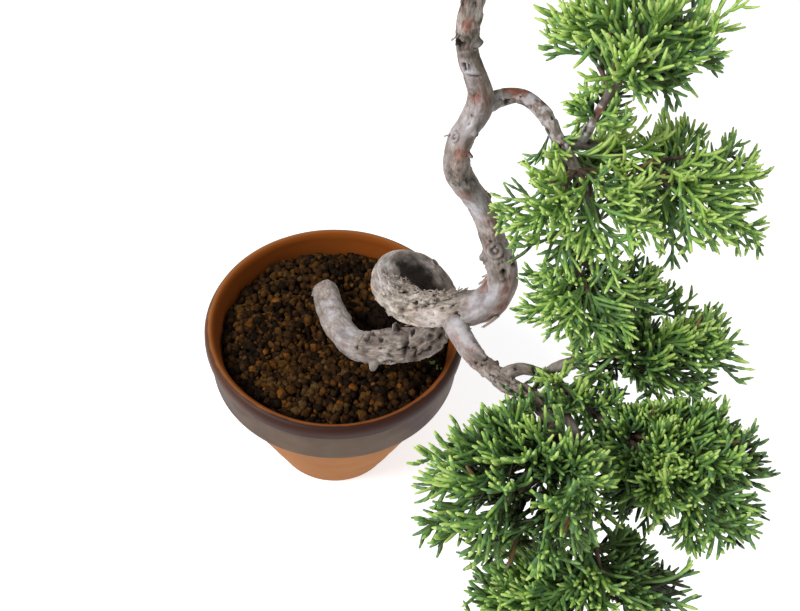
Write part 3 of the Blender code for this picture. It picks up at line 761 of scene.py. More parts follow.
@dataclass
class Soil:
    """Granular soil that fills the pot: a lumpy bed with loose crumbs heaped on it."""

    pot: Pot
    level: float = 107 * MM
    edge_drop: float = 2.5 * MM
    edge_width: float = 10 * MM
    clearance: float = 0.3 * MM
    around: int = 120
    crumbs: int = 2300
    smallest: float = 2.8 * MM
    largest: float = 5.6 * MM
    fineness: float = 1.7  # the power of an even chance that makes most crumbs small
    jitter: tuple = (0.9 * MM, 0.03)  # how far crumbs stray from the spiral, in and out and round it
    stretch: tuple = (0.66, 1.18)
    ruggedness: float = 0.13  # how far a crumb's corners stand in or out
    layer_depth: float = 2.8 * MM
    heap_place: tuple = (-9.5 * MM, 45 * MM)
    heap_reach: tuple = (18 * MM, 12 * MM)
    heap_height: float = 8.5 * MM
    coil_shade_place: tuple = (25 * MM, 3 * MM)  # painted shade under the coil
    coil_shade_reach: tuple = (21 * MM, 14 * MM)
    wall_shade_rim: float = 12 * MM
    lumps: int = 110  # crests and hollows in turn
    lump_rise: float = 1.3 * MM
    lump_spread: float = 0.94
    lump_reach: float = 5 * MM
    foot_bed: float = 10 * MM  # the soil is level this near to the buried foot, and low up to twice as far
    moss_specks: int = 12
    moss_place: tuple = (56 * MM, -24 * MM)
    moss_spread: tuple = (1.6 * MM, 1.8 * MM)

    def radius(self) -> float:
        """The radius of the soil's top edge."""
        return self.pot.inside_radius(self.level - self.edge_drop) - self.clearance

    def top(self, radius: np.ndarray) -> np.ndarray:
        """The height of the soil: level, then falling to the edge in an S curve."""
        start = self.radius() - self.edge_width
        return self.level - self.edge_drop * smooth_step(start, self.radius(), radius)

    def heap(self, places: np.ndarray) -> np.ndarray:
        """How much higher the crumbs lie where they are heaped on the buried end of the trunk."""
        away = (places[:, :2] - np.array(self.heap_place)) / np.array(self.heap_reach)
        return self.heap_height * np.exp(-(away**2).sum(axis=1) ** 2)

    def damp(self, places: np.ndarray) -> np.ndarray:
        """How dark the crumbs are dealt: painted shade under the coil and by the left and front wall, and
        damp in patches.

        Args:
            places: (n, 3) places.

        Returns:
            (n,) darkness from painted shade and damp, 0 where there is neither.
        """
        away = (places[:, :2] - np.array(self.coil_shade_place)) / np.array(self.coil_shade_reach)
        radius = np.linalg.norm(places[:, :2], axis=1)
        rim = smooth_step(self.radius() - self.wall_shade_rim, self.radius() - 2 * MM, radius)
        front = np.clip(0.5 - (places[:, 0] + places[:, 1]) / (2 * self.radius()), 0, 1)
        patches = Noise(61).layered(places * (1, 1, 0), 15 * MM, 2)
        return 2.4 * np.exp(-(away**2).sum(axis=1)) + 0.9 * rim * front + 0.45 * patches

    def swell(self, places: np.ndarray) -> np.ndarray:
        """How far the soil rises or sinks: crests and hollows in turn on a spiral, and level by the foot.

        Each place takes the mean of the lumps' heights, weighted by a bell of its distance from each.

        Args:
            places: (n, 3) places.

        Returns:
            (n,) heights in metres.
        """
        foot = Limb(TRUNK_STRETCHES["trunk_foot"])
        buried = foot.line[foot.line[:, 2] - foot.radius < self.level + 2 * self.lump_rise, :2]
        number = np.arange(self.lumps)
        radius = self.radius() * self.lump_spread * np.sqrt((number + 0.5) / self.lumps)
        turn = GOLDEN_ANGLE * number
        lumps = np.column_stack([radius * np.cos(turn), radius * np.sin(turn)])
        away = np.linalg.norm(lumps[:, None] - buried, axis=2).min(axis=1)
        crest = np.where(away > 2 * self.foot_bed, self.lump_rise, 0)
        height = np.where(number % 2 == 1, crest, crest - 2 * self.lump_rise) * (away > self.foot_bed)
        distance = np.linalg.norm(places[:, None, :2] - lumps, axis=2)
        weight = np.exp(-((distance / self.lump_reach) ** 2))
        return (weight * height).sum(axis=1) / (weight.sum(axis=1) + 1e-3)

    def build(self) -> list[bpy.types.Object]:
        """The bed and the crumbs of each tone.

        Returns:
            The dressed pieces.
        """
        tones = {tone: BakedClayGrain("soil_" + tone.name.lower(), *tone.value[:2]).material()
                 for tone in GrainTone}
        pieces = [dress(self._bed(tones[GrainTone.BLACK_BARK]), "soil", "soil")]
        pieces += [dress(piece, "soil", "soil") for piece in self._crumbs(tones)]
        pieces.append(dress(self._moss(), "soil"))
        return pieces

    def _bed(self, finish: bpy.types.Material) -> bpy.types.Object:
        """The bed: a turned solid just inside the wall, whose top is lowered and roughened by noise.

        Args:
            finish: The bed's material.

        Returns:
            The piece, not yet dressed.
        """
        collar_bottom = self.pot.height - self.pot.collar_height
        bottom = self.pot.floor + self.clearance
        edge = self.level - self.edge_drop
        heights = np.concatenate([np.linspace(bottom, collar_bottom, 12),
                                  np.linspace(collar_bottom, edge, 5)[1:]])
        wall = np.array([(self.pot.inside_radius(h) - 2 * self.clearance, h) for h in heights])
        wall[-1, 1] -= self.layer_depth
        inwards = np.linspace(self.radius(), 0, 42)[1:]
        top = np.column_stack([inwards, self.top(inwards) - self.layer_depth])
        vertices, faces = turned(np.vstack([(0, bottom), wall, top]), self.around)
        radius = np.linalg.norm(vertices[:, :2], axis=1)
        on_top = (vertices[:, 2] > edge - 2 * self.layer_depth) & (radius < self.radius() - 1 * MM)
        risen = self.heap(vertices) + self.swell(vertices)
        vertices[:, 2] += on_top * (Noise(8).layered(vertices, 5 * MM, 2) * 0.9 * MM + risen)
        return build_mesh("soil_bed", vertices, faces, [finish])

    def _crumbs(self, tones: dict) -> list[bpy.types.Object]:
        """Loose crumbs of each tone on the bed: rounded blocks on a sunflower's spiral, each jittered,
        stretched, turned at random and roughened, in two layers.

        Args:
            tones: The material of each tone.

        Returns:
            A piece for each tone, not yet dressed.
        """
        random = np.random.default_rng(41)
        number = np.arange(self.crumbs)
        chance = random.uniform(0, 1, self.crumbs)
        size = self.smallest + (self.largest - self.smallest) * chance**self.fineness
        reach = self.radius() - size / 2
        radius = np.minimum(reach, self.radius() * np.sqrt((number + 0.5) / self.crumbs)
                            + random.normal(0, self.jitter[0], self.crumbs))
        angle = GOLDEN_ANGLE * number + random.normal(0, self.jitter[1], self.crumbs)
        sunk = random.uniform(0, 1, self.crumbs)
        height = self.top(radius) - self.layer_depth * sunk + size * 0.12
        centres = np.column_stack([radius * np.cos(angle), radius * np.sin(angle), height])
        centres[:, 2] += self.heap(centres) + self.swell(centres)
        shape, quads = rounded_block()
        stretch = size[:, None] / 2 * random.uniform(*self.stretch, (self.crumbs, 3))
        roughness = 1 + random.uniform(-self.ruggedness, self.ruggedness, (self.crumbs, len(shape), 1))
        local = shape * roughness * stretch[:, None]
        turns = random_turns(random, self.crumbs)
        vertices = np.einsum("nij,nkj->nki", turns, local) + centres[:, None]
        shares = np.cumsum([tone.value[2] for tone in GrainTone])
        # Painted shade under the coil and by the wall, and damp patches, deal darker crumbs.
        chance = np.clip(random.uniform(0, 1, self.crumbs) - 0.5 * self.damp(centres), 0, 0.999)
        dealt = np.searchsorted(shares / shares[-1], chance, side="right")
        pieces = []
        for kind, tone in enumerate(GrainTone):
            chosen = vertices[dealt == kind]
            pieces.append(build_mesh("soil_crumbs_" + tone.name.lower(), chosen.reshape(-1, 3),
                                     [repeated(quads, len(chosen), len(shape))], [tones[tone]]))
        return pieces

    def _moss(self) -> bpy.types.Object:
        """A few specks of moss near the right wall, as small rough blocks.

        Returns:
            The piece, not yet dressed.
        """
        random = np.random.default_rng(52)
        shape, quads = rounded_block()
        count = self.moss_specks
        spread = random.normal(0, 1, (count, 2)) * self.moss_spread
        height = np.full(count, self.level + 0.4 * MM)
        centres = np.column_stack([np.array(self.moss_place) + spread, height])
        centres[:, 2] += self.swell(centres)
        sizes = random.uniform(0.4, 0.7, (count, 1, 1)) * MM
        roughness = 1 + random.uniform(-0.25, 0.25, (count, len(shape), 1))
        vertices = (shape * roughness * sizes + centres[:, None]).reshape(-1, 3)
        faces = repeated(quads, count, len(shape))
        return build_mesh("soil_moss", vertices, [faces], [ScaleLeaf(Tint.MID, 0.9).material()])


def rounded_block() -> tuple[np.ndarray, np.ndarray]:
    """A block of two by two faces a side, blown up towards a ball: a crumb's shape of 24 quads.

    Each lattice point of a cube from -1 to 1 is moved half of the way to the ball of radius 1.1.

    Returns:
        The 26 vertices and the quads, turned outwards.
    """
    axis = np.array([-1.0, 0.0, 1.0])
    lattice = np.stack(np.meshgrid(axis, axis, axis, indexing="ij"), axis=-1)
    keep = np.abs(lattice).max(axis=-1) == 1
    numbers = np.full(keep.shape, -1)
    numbers[keep] = np.arange(keep.sum())
    quads = []
    for side in range(3):
        for end in (0, 2):
            face = np.take(numbers, end, axis=side)
            cells = grid_faces(face)
            outward = (side == 1) != (end == 2)
            quads.append(cells if outward else cells[:, ::-1])
    points = lattice[keep]
    return points * 0.45 + unit(points) * 0.55, np.vstack(quads)


def random_turns(random: np.random.Generator, count: int) -> np.ndarray:
    """(count, 3, 3) even random rotation matrices, from unit quaternions."""
    w, x, y, z = unit(random.normal(0, 1, (count, 4))).T
    return np.stack([
        1 - 2 * (y * y + z * z), 2 * (x * y - w * z), 2 * (x * z + w * y),
        2 * (x * y + w * z), 1 - 2 * (x * x + z * z), 2 * (y * z - w * x),
        2 * (x * z - w * y), 2 * (y * z + w * x), 1 - 2 * (x * x + y * y),
    ], axis=-1).reshape(count, 3, 3)


# ------------------------------------------------------------------ limbs
# The trunk's stations (x, y, z, thickness) in mm, up to the bend where the next stretch starts.
TRUNK_STRETCHES = {
    "trunk_foot": [
        (-9, 48, 97, 20), (-5, 28, 107, 18), (-0.5, 3.5, 116.5, 17),
        (5, -18, 127, 16.5), (12, -29, 132.5, 17), (29.5, -36, 140, 18.5),
    ],
    "trunk_coil_back": [(50, -38.5, 152, 17), (57.5, -28, 164.5, 17), (45, -14.5, 176, 17)],
    "trunk_coil_front": [
        (28, -22, 187.5, 17.5), (25, -32, 188.5, 17.5), (37, -52, 192.5, 17.5), (51.5, -63.5, 204, 17),
    ],
    "trunk_middle": [
        (67.5, -70, 217.5, 16), (72, -68, 231, 14), (68, -63.5, 247, 12.4), (58, -61, 268.5, 10.5),
    ],
    "trunk_upper": [
        (47.5, -64.5, 289, 11), (46, -69.5, 309.5, 9.5), (51, -69, 323, 10), (44, -68.5, 345.5, 8.3),
    ],
    "trunk_top": [(42.5, -75.5, 368.5, 7.7), (45, -69, 388, 7), (51, -56, 404, 5.6), (48, -49, 419, 4.2)],
}
# Each bough: the limb that it leaves, then its own stations, from inside that limb to its tip.
BOUGHS = {
    "bough_low": ("trunk", [
        (53, -65, 205, 13), (55.5, -81, 208, 11), (61, -99, 214, 9.4),
        (69, -117, 223, 8), (75, -129, 231, 6.6), (80, -143, 236, 5.6),
    ]),
    "bough_low_front": ("bough_low", [
        (74, -127, 230, 4.8), (86, -136, 232, 4.4), (91, -152, 232, 4), (91, -172, 227, 3.4),
    ]),
    "bough_low_right": ("bough_low", [
        (67, -113, 221, 5), (75, -116, 231, 4.6), (84, -122, 234, 4.2), (94, -133, 233, 3.6),
        (104, -143, 232, 3.2),
    ]),
    "bough_low_back": ("bough_low_right", [(82, -120, 234, 3.8), (90, -119, 239, 3.4), (98, -119, 243, 3)]),
    "bough_mid": ("trunk", [
        (51, -69, 322, 7), (58, -67, 325, 5.8), (65, -67.5, 326, 5.3),
        (72, -74.5, 325, 5), (76, -85, 321.5, 5), (80, -93, 319, 4.4),
    ]),
    "bough_mid_right": ("bough_mid", [(76, -85, 321, 4), (86, -87, 321, 3.6), (97, -92, 318, 3)]),
    "bough_mid_under": ("bough_mid", [(77, -87, 320.5, 3.4), (79, -98, 307, 3.2), (82, -107, 295, 2.8)]),
    "bough_upper": ("bough_mid_right", [(83, -86.5, 321, 3.4), (84, -90, 330, 3.2), (86, -91, 341, 3)]),
    "bough_left": ("trunk", [(44.5, -70, 386, 4.6), (34, -64, 390, 4), (22, -55, 393, 3.2)]),
    "bough_back": ("trunk", [
        (46, -67, 391, 4.2), (41, -48, 391, 3.8), (37, -28, 390, 3.2), (35, -16, 390, 3),
    ]),
    "bough_right": ("trunk", [(49, -60, 399, 4), (60, -48, 397, 3.6), (71, -36, 396, 3)]),
}


class Limb:
    """A tapering limb along a smooth line through its stations, measured by the distance along it."""

    FINE = 0.5 * MM

    def __init__(self, stations: Sequence[tuple]) -> None:
        """Works out the line, thickness and carried frame at fine steps.

        Between two stations the place and thickness follow a cubic whose slopes at its ends are the
        mean of the slopes on both sides, weighted towards the shorter one.

        Args:
            stations: (x, y, z, thickness) rows in mm.
        """
        table = np.array(stations, float) * MM
        knots = np.concatenate([[0], np.cumsum(np.linalg.norm(np.diff(table[:, :3], axis=0), axis=1))])
        gaps = np.diff(knots)[:, None]
        slopes = np.diff(table, axis=0) / gaps
        inner = (gaps[1:] * slopes[:-1] + gaps[:-1] * slopes[1:]) / (gaps[1:] + gaps[:-1])
        tangents = np.vstack([slopes[:1], inner, slopes[-1:]])
        self.length = float(knots[-1])
        self.along = np.linspace(0, self.length, int(self.length / self.FINE) + 1)
        span = np.clip(np.searchsorted(knots, self.along, side="right") - 1, 0, len(knots) - 2)
        gap = gaps[span]
        u = (self.along[:, None] - knots[span][:, None]) / gap
        curve = ((2 * u**3 - 3 * u**2 + 1) * table[span] + (u**3 - 2 * u**2 + u) * gap * tangents[span]
                 + (3 * u**2 - 2 * u**3) * table[span + 1] + (u**3 - u**2) * gap * tangents[span + 1])
        self.line = curve[:, :3]
        self.radius = curve[:, 3] / 2
        self.heading = unit(np.gradient(self.line, axis=0))
        self.side = self._sides()
        self.across = np.cross(self.heading, self.side)

    def _sides(self) -> np.ndarray:
        """A sideways direction at each point, carried along the line without twisting.

        Returns:
            (steps, 3) unit directions.
        """
        sides = np.empty_like(self.line)
        side = np.cross(self.heading[0], (0.0, 0.0, 1.0))
        if np.linalg.norm(side) < 0.1:
            side = np.cross(self.heading[0], (0.0, 1.0, 0.0))
        for k, heading in enumerate(self.heading):
            side = side - heading * (side @ heading)
            side = side / np.linalg.norm(side)
            sides[k] = side
        return sides

    def index(self, distance: np.ndarray) -> np.ndarray:
        """The number of the fine step nearest to a distance along the limb."""
        share = np.clip(distance, 0, self.length) / self.length
        return np.round(share * (len(self.along) - 1)).astype(int)

    def outwards(self, step: np.ndarray, angle: np.ndarray) -> np.ndarray:
        """The direction out of the limb at a fine step and an angle round it."""
        return self.side[step] * np.cos(angle)[..., None] + self.across[step] * np.sin(angle)[..., None]


class MarkKind(Enum):
    """What a mark in the bark is."""

    RING = "a healed ring round a cut twig"
    HOLE = "an open hole"
    SNAG = "a stub that stands out"
    BURL = "a round swelling"
    CRACK = "a crack across the grain"
    # Painted shade: a dark patch with soft edges, painted where shade falls on the bark.
    SHADE = "a damp dark patch with soft edges"
    PEEL = "fresh pinkish skin where a strip has torn away"
    LEDGE = "bare smooth wood with a raised edge"
    # A tight lilac-grey skin, partly a painted highlight.
    SHINE = "tight lilac-grey skin"
    STREAK = "a purplish brown streak along the grain"


@dataclass(frozen=True)
class Mark:
    """A mark: the distance along the limb in mm, the angle round it in degrees, its size and height in mm."""

    along: float
    around: float
    size: float
    height: float
    kind: MarkKind


RING, HOLE, SNAG, BURL, CRACK, SHADE, PEEL, LEDGE, SHINE, STREAK = MarkKind


def marks(*rows: tuple) -> tuple[Mark, ...]:
    """The marks of some rows, each in the order of a mark's fields."""
    return tuple(Mark(*row) for row in rows)


TRUNK_MARKS = marks(
    (304, 190, 3.8, 1.1, RING), (309, 186, 1.3, 1.2, HOLE), (293, 205, 2.5, 1.4, HOLE),
    (290, 194, 1.5, 1.4, SNAG), (300, 128, 2.3, 1.7, SNAG), (296, 124, 1.5, 1.1, HOLE),
    (314, 208, 1.1, 0.9, SNAG), (373, 135, 1.8, 0.9, RING), (378, 205, 1.5, 1.9, SNAG),
    (367, 232, 0.9, 2.4, SNAG), (349, 172, 1.7, 0.8, RING), (345, 250, 1.9, 1.6, SNAG),
    (419, 155, 2.6, 1.7, RING), (416, 235, 2.2, 1.9, SNAG), (140, 345, 7, 0, SHADE),
    (130, 0, 6, 0, SHADE), (124, 25, 5.5, 0, SHADE), (100, 306, 4.5, 0, SHADE), (116, 290, 4.5, 0, SHADE),
    (112, 15, 3.5, 0, SHADE), (101, 35, 2.7, 5.2, SNAG), (114.6, 272, 2.6, 4, SNAG),
    (223, 152, 1.2, 1.8, SNAG), (229, 166, 1.4, 2, SNAG), (133, 322, 6.5, 1.9, BURL),
    (104, 300, 7, 1.7, BURL), (99, 305, 3, 1.7, HOLE), (127, 300, 2.4, 1.2, HOLE),
    (108, 312, 1.9, 1.1, HOLE), (120, 345, 8.5, 2.6, CRACK), (123, 22, 5.5, 2.2, CRACK),
    (134, 350, 2.6, 1.6, HOLE), (126.5, 318, 5, 1.6, BURL), (219, 52, 6, 2, BURL),
    (227, 62, 5, 1.8, BURL), (170, 318, 6, 1.8, BURL), (209, 50, 1.3, 0.9, HOLE),
    (214, 62, 1.2, 0.8, HOLE), (218, 78, 1.5, 0.9, HOLE), (223, 70, 1.2, 0.8, HOLE),
    (226, 86, 1.6, 0.9, HOLE), (231, 72, 1.3, 0.8, HOLE), (235, 84, 1.5, 0.9, HOLE),
    (240, 78, 1.7, 0.9, HOLE), (210, 130, 9, -1.7, BURL), (193, 75, 9, -0.9, BURL),
    (202, 104, 4, 1.2, BURL), (186, 48, 4.5, 0.9, BURL), (168, 38, 4, 0.8, BURL), (246, 96, 2, 1.1, HOLE),
    (249, 112, 1.8, 0.9, CRACK), (248, 128, 2.2, 0.9, CRACK), (239.7, 140, 2.2, 0.9, RING),
    (96, 290, 4.2, 1.1, CRACK), (138, 300, 3.6, 1, CRACK), (262, 200, 6.5, 1.2, BURL),
    (395, 150, 1.5, 0.8, SNAG), (327, 320, 2, 0.9, RING), (60, 210, 2.4, 0.8, RING),
    (170, 60, 3, 1, RING), (196, 330, 5, 1.2, BURL), (440, 60, 1.6, 0.9, SNAG),
    (281, 122, 4.4, 0.8, PEEL), (246, 170, 8, 0.5, LEDGE), (46, 275, 6, 0, SHINE), (84, 288, 8, 0, SHINE),
    (275, 152, 8.5, 0, SHINE), (268, 165, 5.5, 0, SHINE), (382, 155, 8, 0, SHINE),
    (329, 170, 6, 0, SHINE), (402, 165, 5, 0, SHINE), (276, 228, 6.5, 0, STREAK),
    (285, 212, 4.5, 0, STREAK), (318, 215, 5, 0, STREAK), (366, 200, 6, 0, STREAK),
    (390, 215, 6, 0, STREAK), (204, 92, 6.5, 0, SHINE), (212, 115, 5.5, 0, SHINE), (60, 285, 6, 0, SHINE),
    (427, 172, 2.1, 0.2, PEEL), (392, 166, 2.4, 0.2, PEEL), (368, 192, 2.6, 0.15, PEEL),
    (401, 190, 3, 0.6, CRACK),
)
BOUGH_MARKS = marks(
    (17, 278, 7, 0, SHINE), (29, 285, 4.5, 0, SHINE), (22, 330, 4, 0, STREAK), (33, 300, 2.4, 0.5, PEEL),
    (44, 285, 1.4, 0.6, HOLE), (62, 290, 1.6, 0.8, RING), (48, 240, 1.4, 1.1, SNAG),
    (73, 200, 1.3, 1.6, SNAG), (70, 320, 1.2, 0.6, RING), (56, 320, 2.6, 0.7, CRACK),
    (66, 285, 2.6, 0.7, CRACK),
)
# How the bark changes along a limb: the distance in mm, then the weathered, tan and cracked shares
# from 0 to 1, the height of its lumps in mm, how brown its skin is, from 0 to 1, and how far it
# stands out in mm.
TRUNK_CHARACTER = (
    (0, 0.7, 0.15, 0.2, 0.5, 0.3, 0), (60, 0.5, 0.15, 0.1, 0.5, 0.1, 0), (85, 0.4, 0.1, 0.2, 0.7, 0.1, 0),
    (98, 0.8, 0.1, 0.7, 1.3, 0.5, 0), (135, 0.9, 0.05, 0.9, 1.3, 0.7, 0),
    (165, 0.85, 0.1, 0.3, 0.8, 0.5, -0.3), (188, 0.6, 0.25, 0.1, 0.8, 0, -1),
    (203, 0.7, 0.5, 0.15, 0.8, 0, -1.3), (214, 0.9, 0.45, 0.8, 0.9, 0, -0.8),
    (235, 1, 0.6, 1, 1, 0, -0.5), (256, 0.9, 0.45, 0.7, 0.8, 0.1, 0), (264, 0.35, 0.1, 0.1, 0.5, 0.6, 0),
    (287, 0.3, 0.05, 0.1, 0.4, 0.7, 0), (297, 0.6, 0.15, 0.5, 0.6, 0.5, 0),
    (315, 0.55, 0.1, 0.3, 0.5, 0.5, 0), (345, 0.5, 0.1, 0.3, 0.4, 0.6, 0),
    (380, 0.4, 0.1, 0.2, 0.4, 0.6, 0), (410, 0.6, 0.1, 0.4, 0.4, 0.8, 0),
    (425, 0.75, 0.1, 0.6, 0.4, 1, 0), (493, 0.85, 0.1, 0.5, 0.3, 1.1, 0),
)
BOUGH_CHARACTER = (
    (0, 0.3, 0.1, 0.0, 0.3, 0.3, 0), (12, 0.15, 0.05, 0.0, 0.3, 0.1, 0), (30, 0.3, 0.1, 0.3, 0.4, 0.3, 0),
    (46, 0.8, 0.1, 0.9, 0.5, 0.8, 0), (90, 1.0, 0.05, 1.0, 0.4, 1.3, 0),
)
REDDISH_CHARACTER = (
    (0, 0.35, 0.1, 0.5, 0.8, 0.8, 0), (22, 0.2, 0.0, 0.6, 0.8, 1.0, 0),
    (30, 0.8, 0.1, 1.0, 1.2, 0.8, 0), (50, 0.85, 0.1, 1.0, 1.2, 0.9, 0),
)
TWIGGY_CHARACTER = ((0, 0.9, 0.1, 0.6, 0.2, 0.8, 0), (100, 1.0, 0.05, 0.6, 0.2, 0.9, 0))
BARK_TONES = ("weathered", "tan", "brown", "pink", "pale", "hollow")


@dataclass
class Bark:
    """The relief and the tones of the bark, for any limb.

    Heights are worked out at each point of a limb's surface, from the distance along it, the
    angle round it and the place on a straight cylinder as thick as the limb.
    """

    character: Sequence[tuple]
    marks: Sequence[Mark] = ()
    flutes: int = 3
    fluting: float = 0.055
    flute_twist: float = 45.0  # radians a metre
    fibre_twist: float = 9.0
    ridge: float = 2.6 * MM
    fibre: float = 1.1 * MM
    cord: float = 6 * MM
    plate: float = 5 * MM
    tear: float = 2 * MM
    lump: float = 9 * MM
    pinkness: float = 0.45
    shade: float = 0.0  # painted shade: how much darker it is painted where it stands among the leaves
    lichen: float = 0.0  # how much of it has pale specks
    seed: int = 3

    def relief(self, limb: Limb, angle: np.ndarray) -> tuple[np.ndarray, dict]:
        """The height of the bark over the limb's radius, and its tones.

        The height is the sum of soft flutes, lumps, ridged fibres stretched along the limb, plates
        where the bark is cracked, pits, and the marks. The hollow tone is painted shade in
        the creases, along the plates' edges, in the pits, between the cords and among the leaves.

        Args:
            limb: The limb.
            angle: (around,) angles of the points round the limb.

        Returns:
            (steps, around) heights in metres, and each tone's share by name.
        """
        along = limb.along[:, None] + 0 * angle
        around = angle[None] + 0 * along
        thick = limb.radius[:, None] + 0 * angle
        table = np.array(self.character).T
        weathered, tan, cracked, lumpy, brown, swell = (np.interp(limb.along / MM, table[0], row)[:, None]
                                                        for row in table[1:])
        turn = around + self.fibre_twist * along
        straight = np.stack([np.cos(turn) * thick, np.sin(turn) * thick, along], axis=-1)
        stretched = straight * (1, 1, 0.28)
        noise = Noise(self.seed)
        fine = np.minimum(1, thick / (5 * MM))
        ridges = 1 - np.abs(noise.layered(stretched + 0.4, self.ridge, 2)) * 1.4
        fibres = 1 - np.abs(noise.layered(stretched + 0.7, self.fibre, 2)) * 1.4
        cords = 1 - np.abs(noise.layered(straight * (1, 1, 0.25) + 1.7, self.cord, 2)) * 1.4
        spread = noise.layered(straight + 0.9, self.plate, 3)
        plates = smooth_step(0.0, 0.16, spread) - 0.5
        torn = noise.layered(straight * (1, 1, 0.6) + 0.2, self.tear, 3)
        pits = smooth_step(0.38, 0.75, torn) * smooth_step(0.3, 0.8, cracked + 0.4 * spread)
        rough = 0.2 + 0.8 * weathered
        height = (thick * self.fluting * np.sin(self.flutes * around + self.flute_twist * along)
                  + (swell - 0.25 * fine) * MM
                  + noise.layered(straight * (1, 1, 0.8) + 0.6, self.lump, 2) * lumpy * MM * fine
                  + (cords - 0.7) * 0.7 * MM * (0.4 + 0.6 * lumpy) * fine
                  + ((ridges - 0.7) * 0.36 * MM + (fibres - 0.7) * 0.2 * MM) * rough * fine
                  + plates * 0.8 * MM * cracked * fine - pits * 1.2 * MM * fine)
        # Painted shade: darker in the creases, along the plates' edges, in the pits, between the cords and
        # among the leaves.
        creases = smooth_step(0.5, 0.05, np.minimum(ridges, fibres)) * 0.55 * rough * weathered
        edges = np.exp(-((spread - 0.04) / 0.05) ** 2) * cracked * 0.5
        hollow = np.maximum(smooth_step(0.2, 0.8, pits) * 0.9, np.maximum(creases, edges))
        hollow = np.maximum(hollow, smooth_step(0.3, -0.3, cords) * 0.4)
        hollow = np.maximum(hollow, self.shade * (0.8 + 0.7 * spread))
        pink = smooth_step(0.2, 0.6, noise.layered(stretched * (1, 1, 2) + 1.3, 4 * MM, 2)) * self.pinkness
        wander = 0.5 * noise.layered(straight + 2.1, 6 * MM, 3)
        lichen = self.lichen * smooth_step(0.05, 0.45, noise.layered(straight + 2.7, 2.2 * MM, 3))
        tones = {
            "weathered": weathered + wander * (1 - np.abs(2 * weathered - 1)),
            "tan": tan * (0.9 + 1.1 * spread), "brown": brown * (0.7 + 1.2 * wander),
            "pink": pink * (1 - 0.8 * weathered), "pale": lichen, "hollow": hollow,
        }
        for mark in self.marks:
            turned_by = (around - math.radians(mark.around) + math.pi) % (2 * math.pi) - math.pi
            away = np.stack([turned_by * thick, along - mark.along * MM], axis=-1) / (mark.size * MM)
            height = height + self._mark(mark, away, torn, tones)
        return height, {key: np.clip(share, 0, 1) for key, share in tones.items()}

    @staticmethod
    def _mark(mark: Mark, away: np.ndarray, torn: np.ndarray, tones: dict) -> np.ndarray:
        """The height of one mark, from the distances round and along the limb in shares of its size.

        Rings and rims are bell curves of the distance from the mark's middle, and flat tops and
        holes are bells of its fourth power. Rings, holes, snags and cracks get painted shade in
        their grooves, and a SHADE mark is a patch of painted shade.

        Args:
            mark: The mark.
            away: (steps, around, 2) distances round and along.
            torn: The noise of torn bark.
            tones: The tones, which the mark changes in place.

        Returns:
            The height in metres at each point.
        """
        kind, top = mark.kind, mark.height * MM
        across, along = away[..., 0], away[..., 1]
        far = np.hypot(across, along)

        def bell(centre: float, width: float, power: int = 2) -> np.ndarray:
            """A bell of the distance, 1 at its centre."""
            return np.exp(-(np.abs(far - centre) / width) ** power)

        def raise_to(**shares: np.ndarray) -> None:
            """Raises each named tone to at least its share."""
            for tone, share in shares.items():
                tones[tone] = np.maximum(tones[tone], share)

        if kind is RING:
            raise_to(hollow=0.85 * bell(0.42, 0.13) + 0.6 * bell(1.12, 0.13))
            return top * (bell(0.75, 0.26) - 0.4 * bell(0.42, 0.14) + 0.5 * bell(0, 0.25))
        if kind is HOLE:
            ragged = np.exp(-((far + 0.35 * torn) / 0.6) ** 4)
            raise_to(hollow=0.9 * ragged)
            return top * (0.5 * bell(0.95, 0.35) - 1.2 * ragged)
        if kind is SNAG:
            raise_to(hollow=0.5 * bell(1.0, 0.25) + 0.6 * bell(0, 0.35))
            return top * (bell(0, 0.72, 4) + 0.2 * bell(0, 1.5) - 0.3 * bell(0, 0.3))
        if kind is BURL:
            return top * bell(0, 0.8)
        if kind is CRACK:
            line = np.exp(-((along + 0.35 * across + 0.12 * torn) / 0.16) ** 2 - np.abs(across) ** 4)
            raise_to(hollow=line)
            return -top * line
        if kind is PEEL:
            share = smooth_step(1.15, 0.7, far + 0.6 * torn)
            raise_to(pink=0.85 * share)
            tones["weathered"] = tones["weathered"] * (1 - share) + share
            return top * (bell(1.0, 0.2) + share * (torn - 0.4))
        if kind is LEDGE:
            flat = np.hypot(across * 1.9, along)
            share = smooth_step(1.1, 0.75, flat + 0.25 * torn)
            raise_to(pale=0.3 * share, tan=share)
            tones["hollow"] = tones["hollow"] * (1 - 0.8 * share)
            return top * np.exp(-((flat - 1.0) / 0.16) ** 2)
        # A patch of painted shade.
        if kind is SHADE:
            share = np.exp(-far**2) * np.clip(0.6 + 0.9 * torn, 0, 1)
            raise_to(hollow=0.8 * share, brown=share)
        # Lilac-grey skin, partly a painted highlight.
        elif kind is SHINE:
            share = np.exp(-(np.hypot(across * 1.5, along) ** 2)) * (0.65 + 0.6 * torn)
            raise_to(pale=0.85 * share)
            tones["weathered"] = tones["weathered"] * (1 - 0.7 * share)
            tones["brown"] = tones["brown"] * (1 - share)
        else:
            share = np.exp(-(np.hypot(across * 1.8, along * 0.7) ** 2)) * (0.75 + 0.6 * torn)
            raise_to(pink=0.6 * share, brown=share)
        return 0 * far


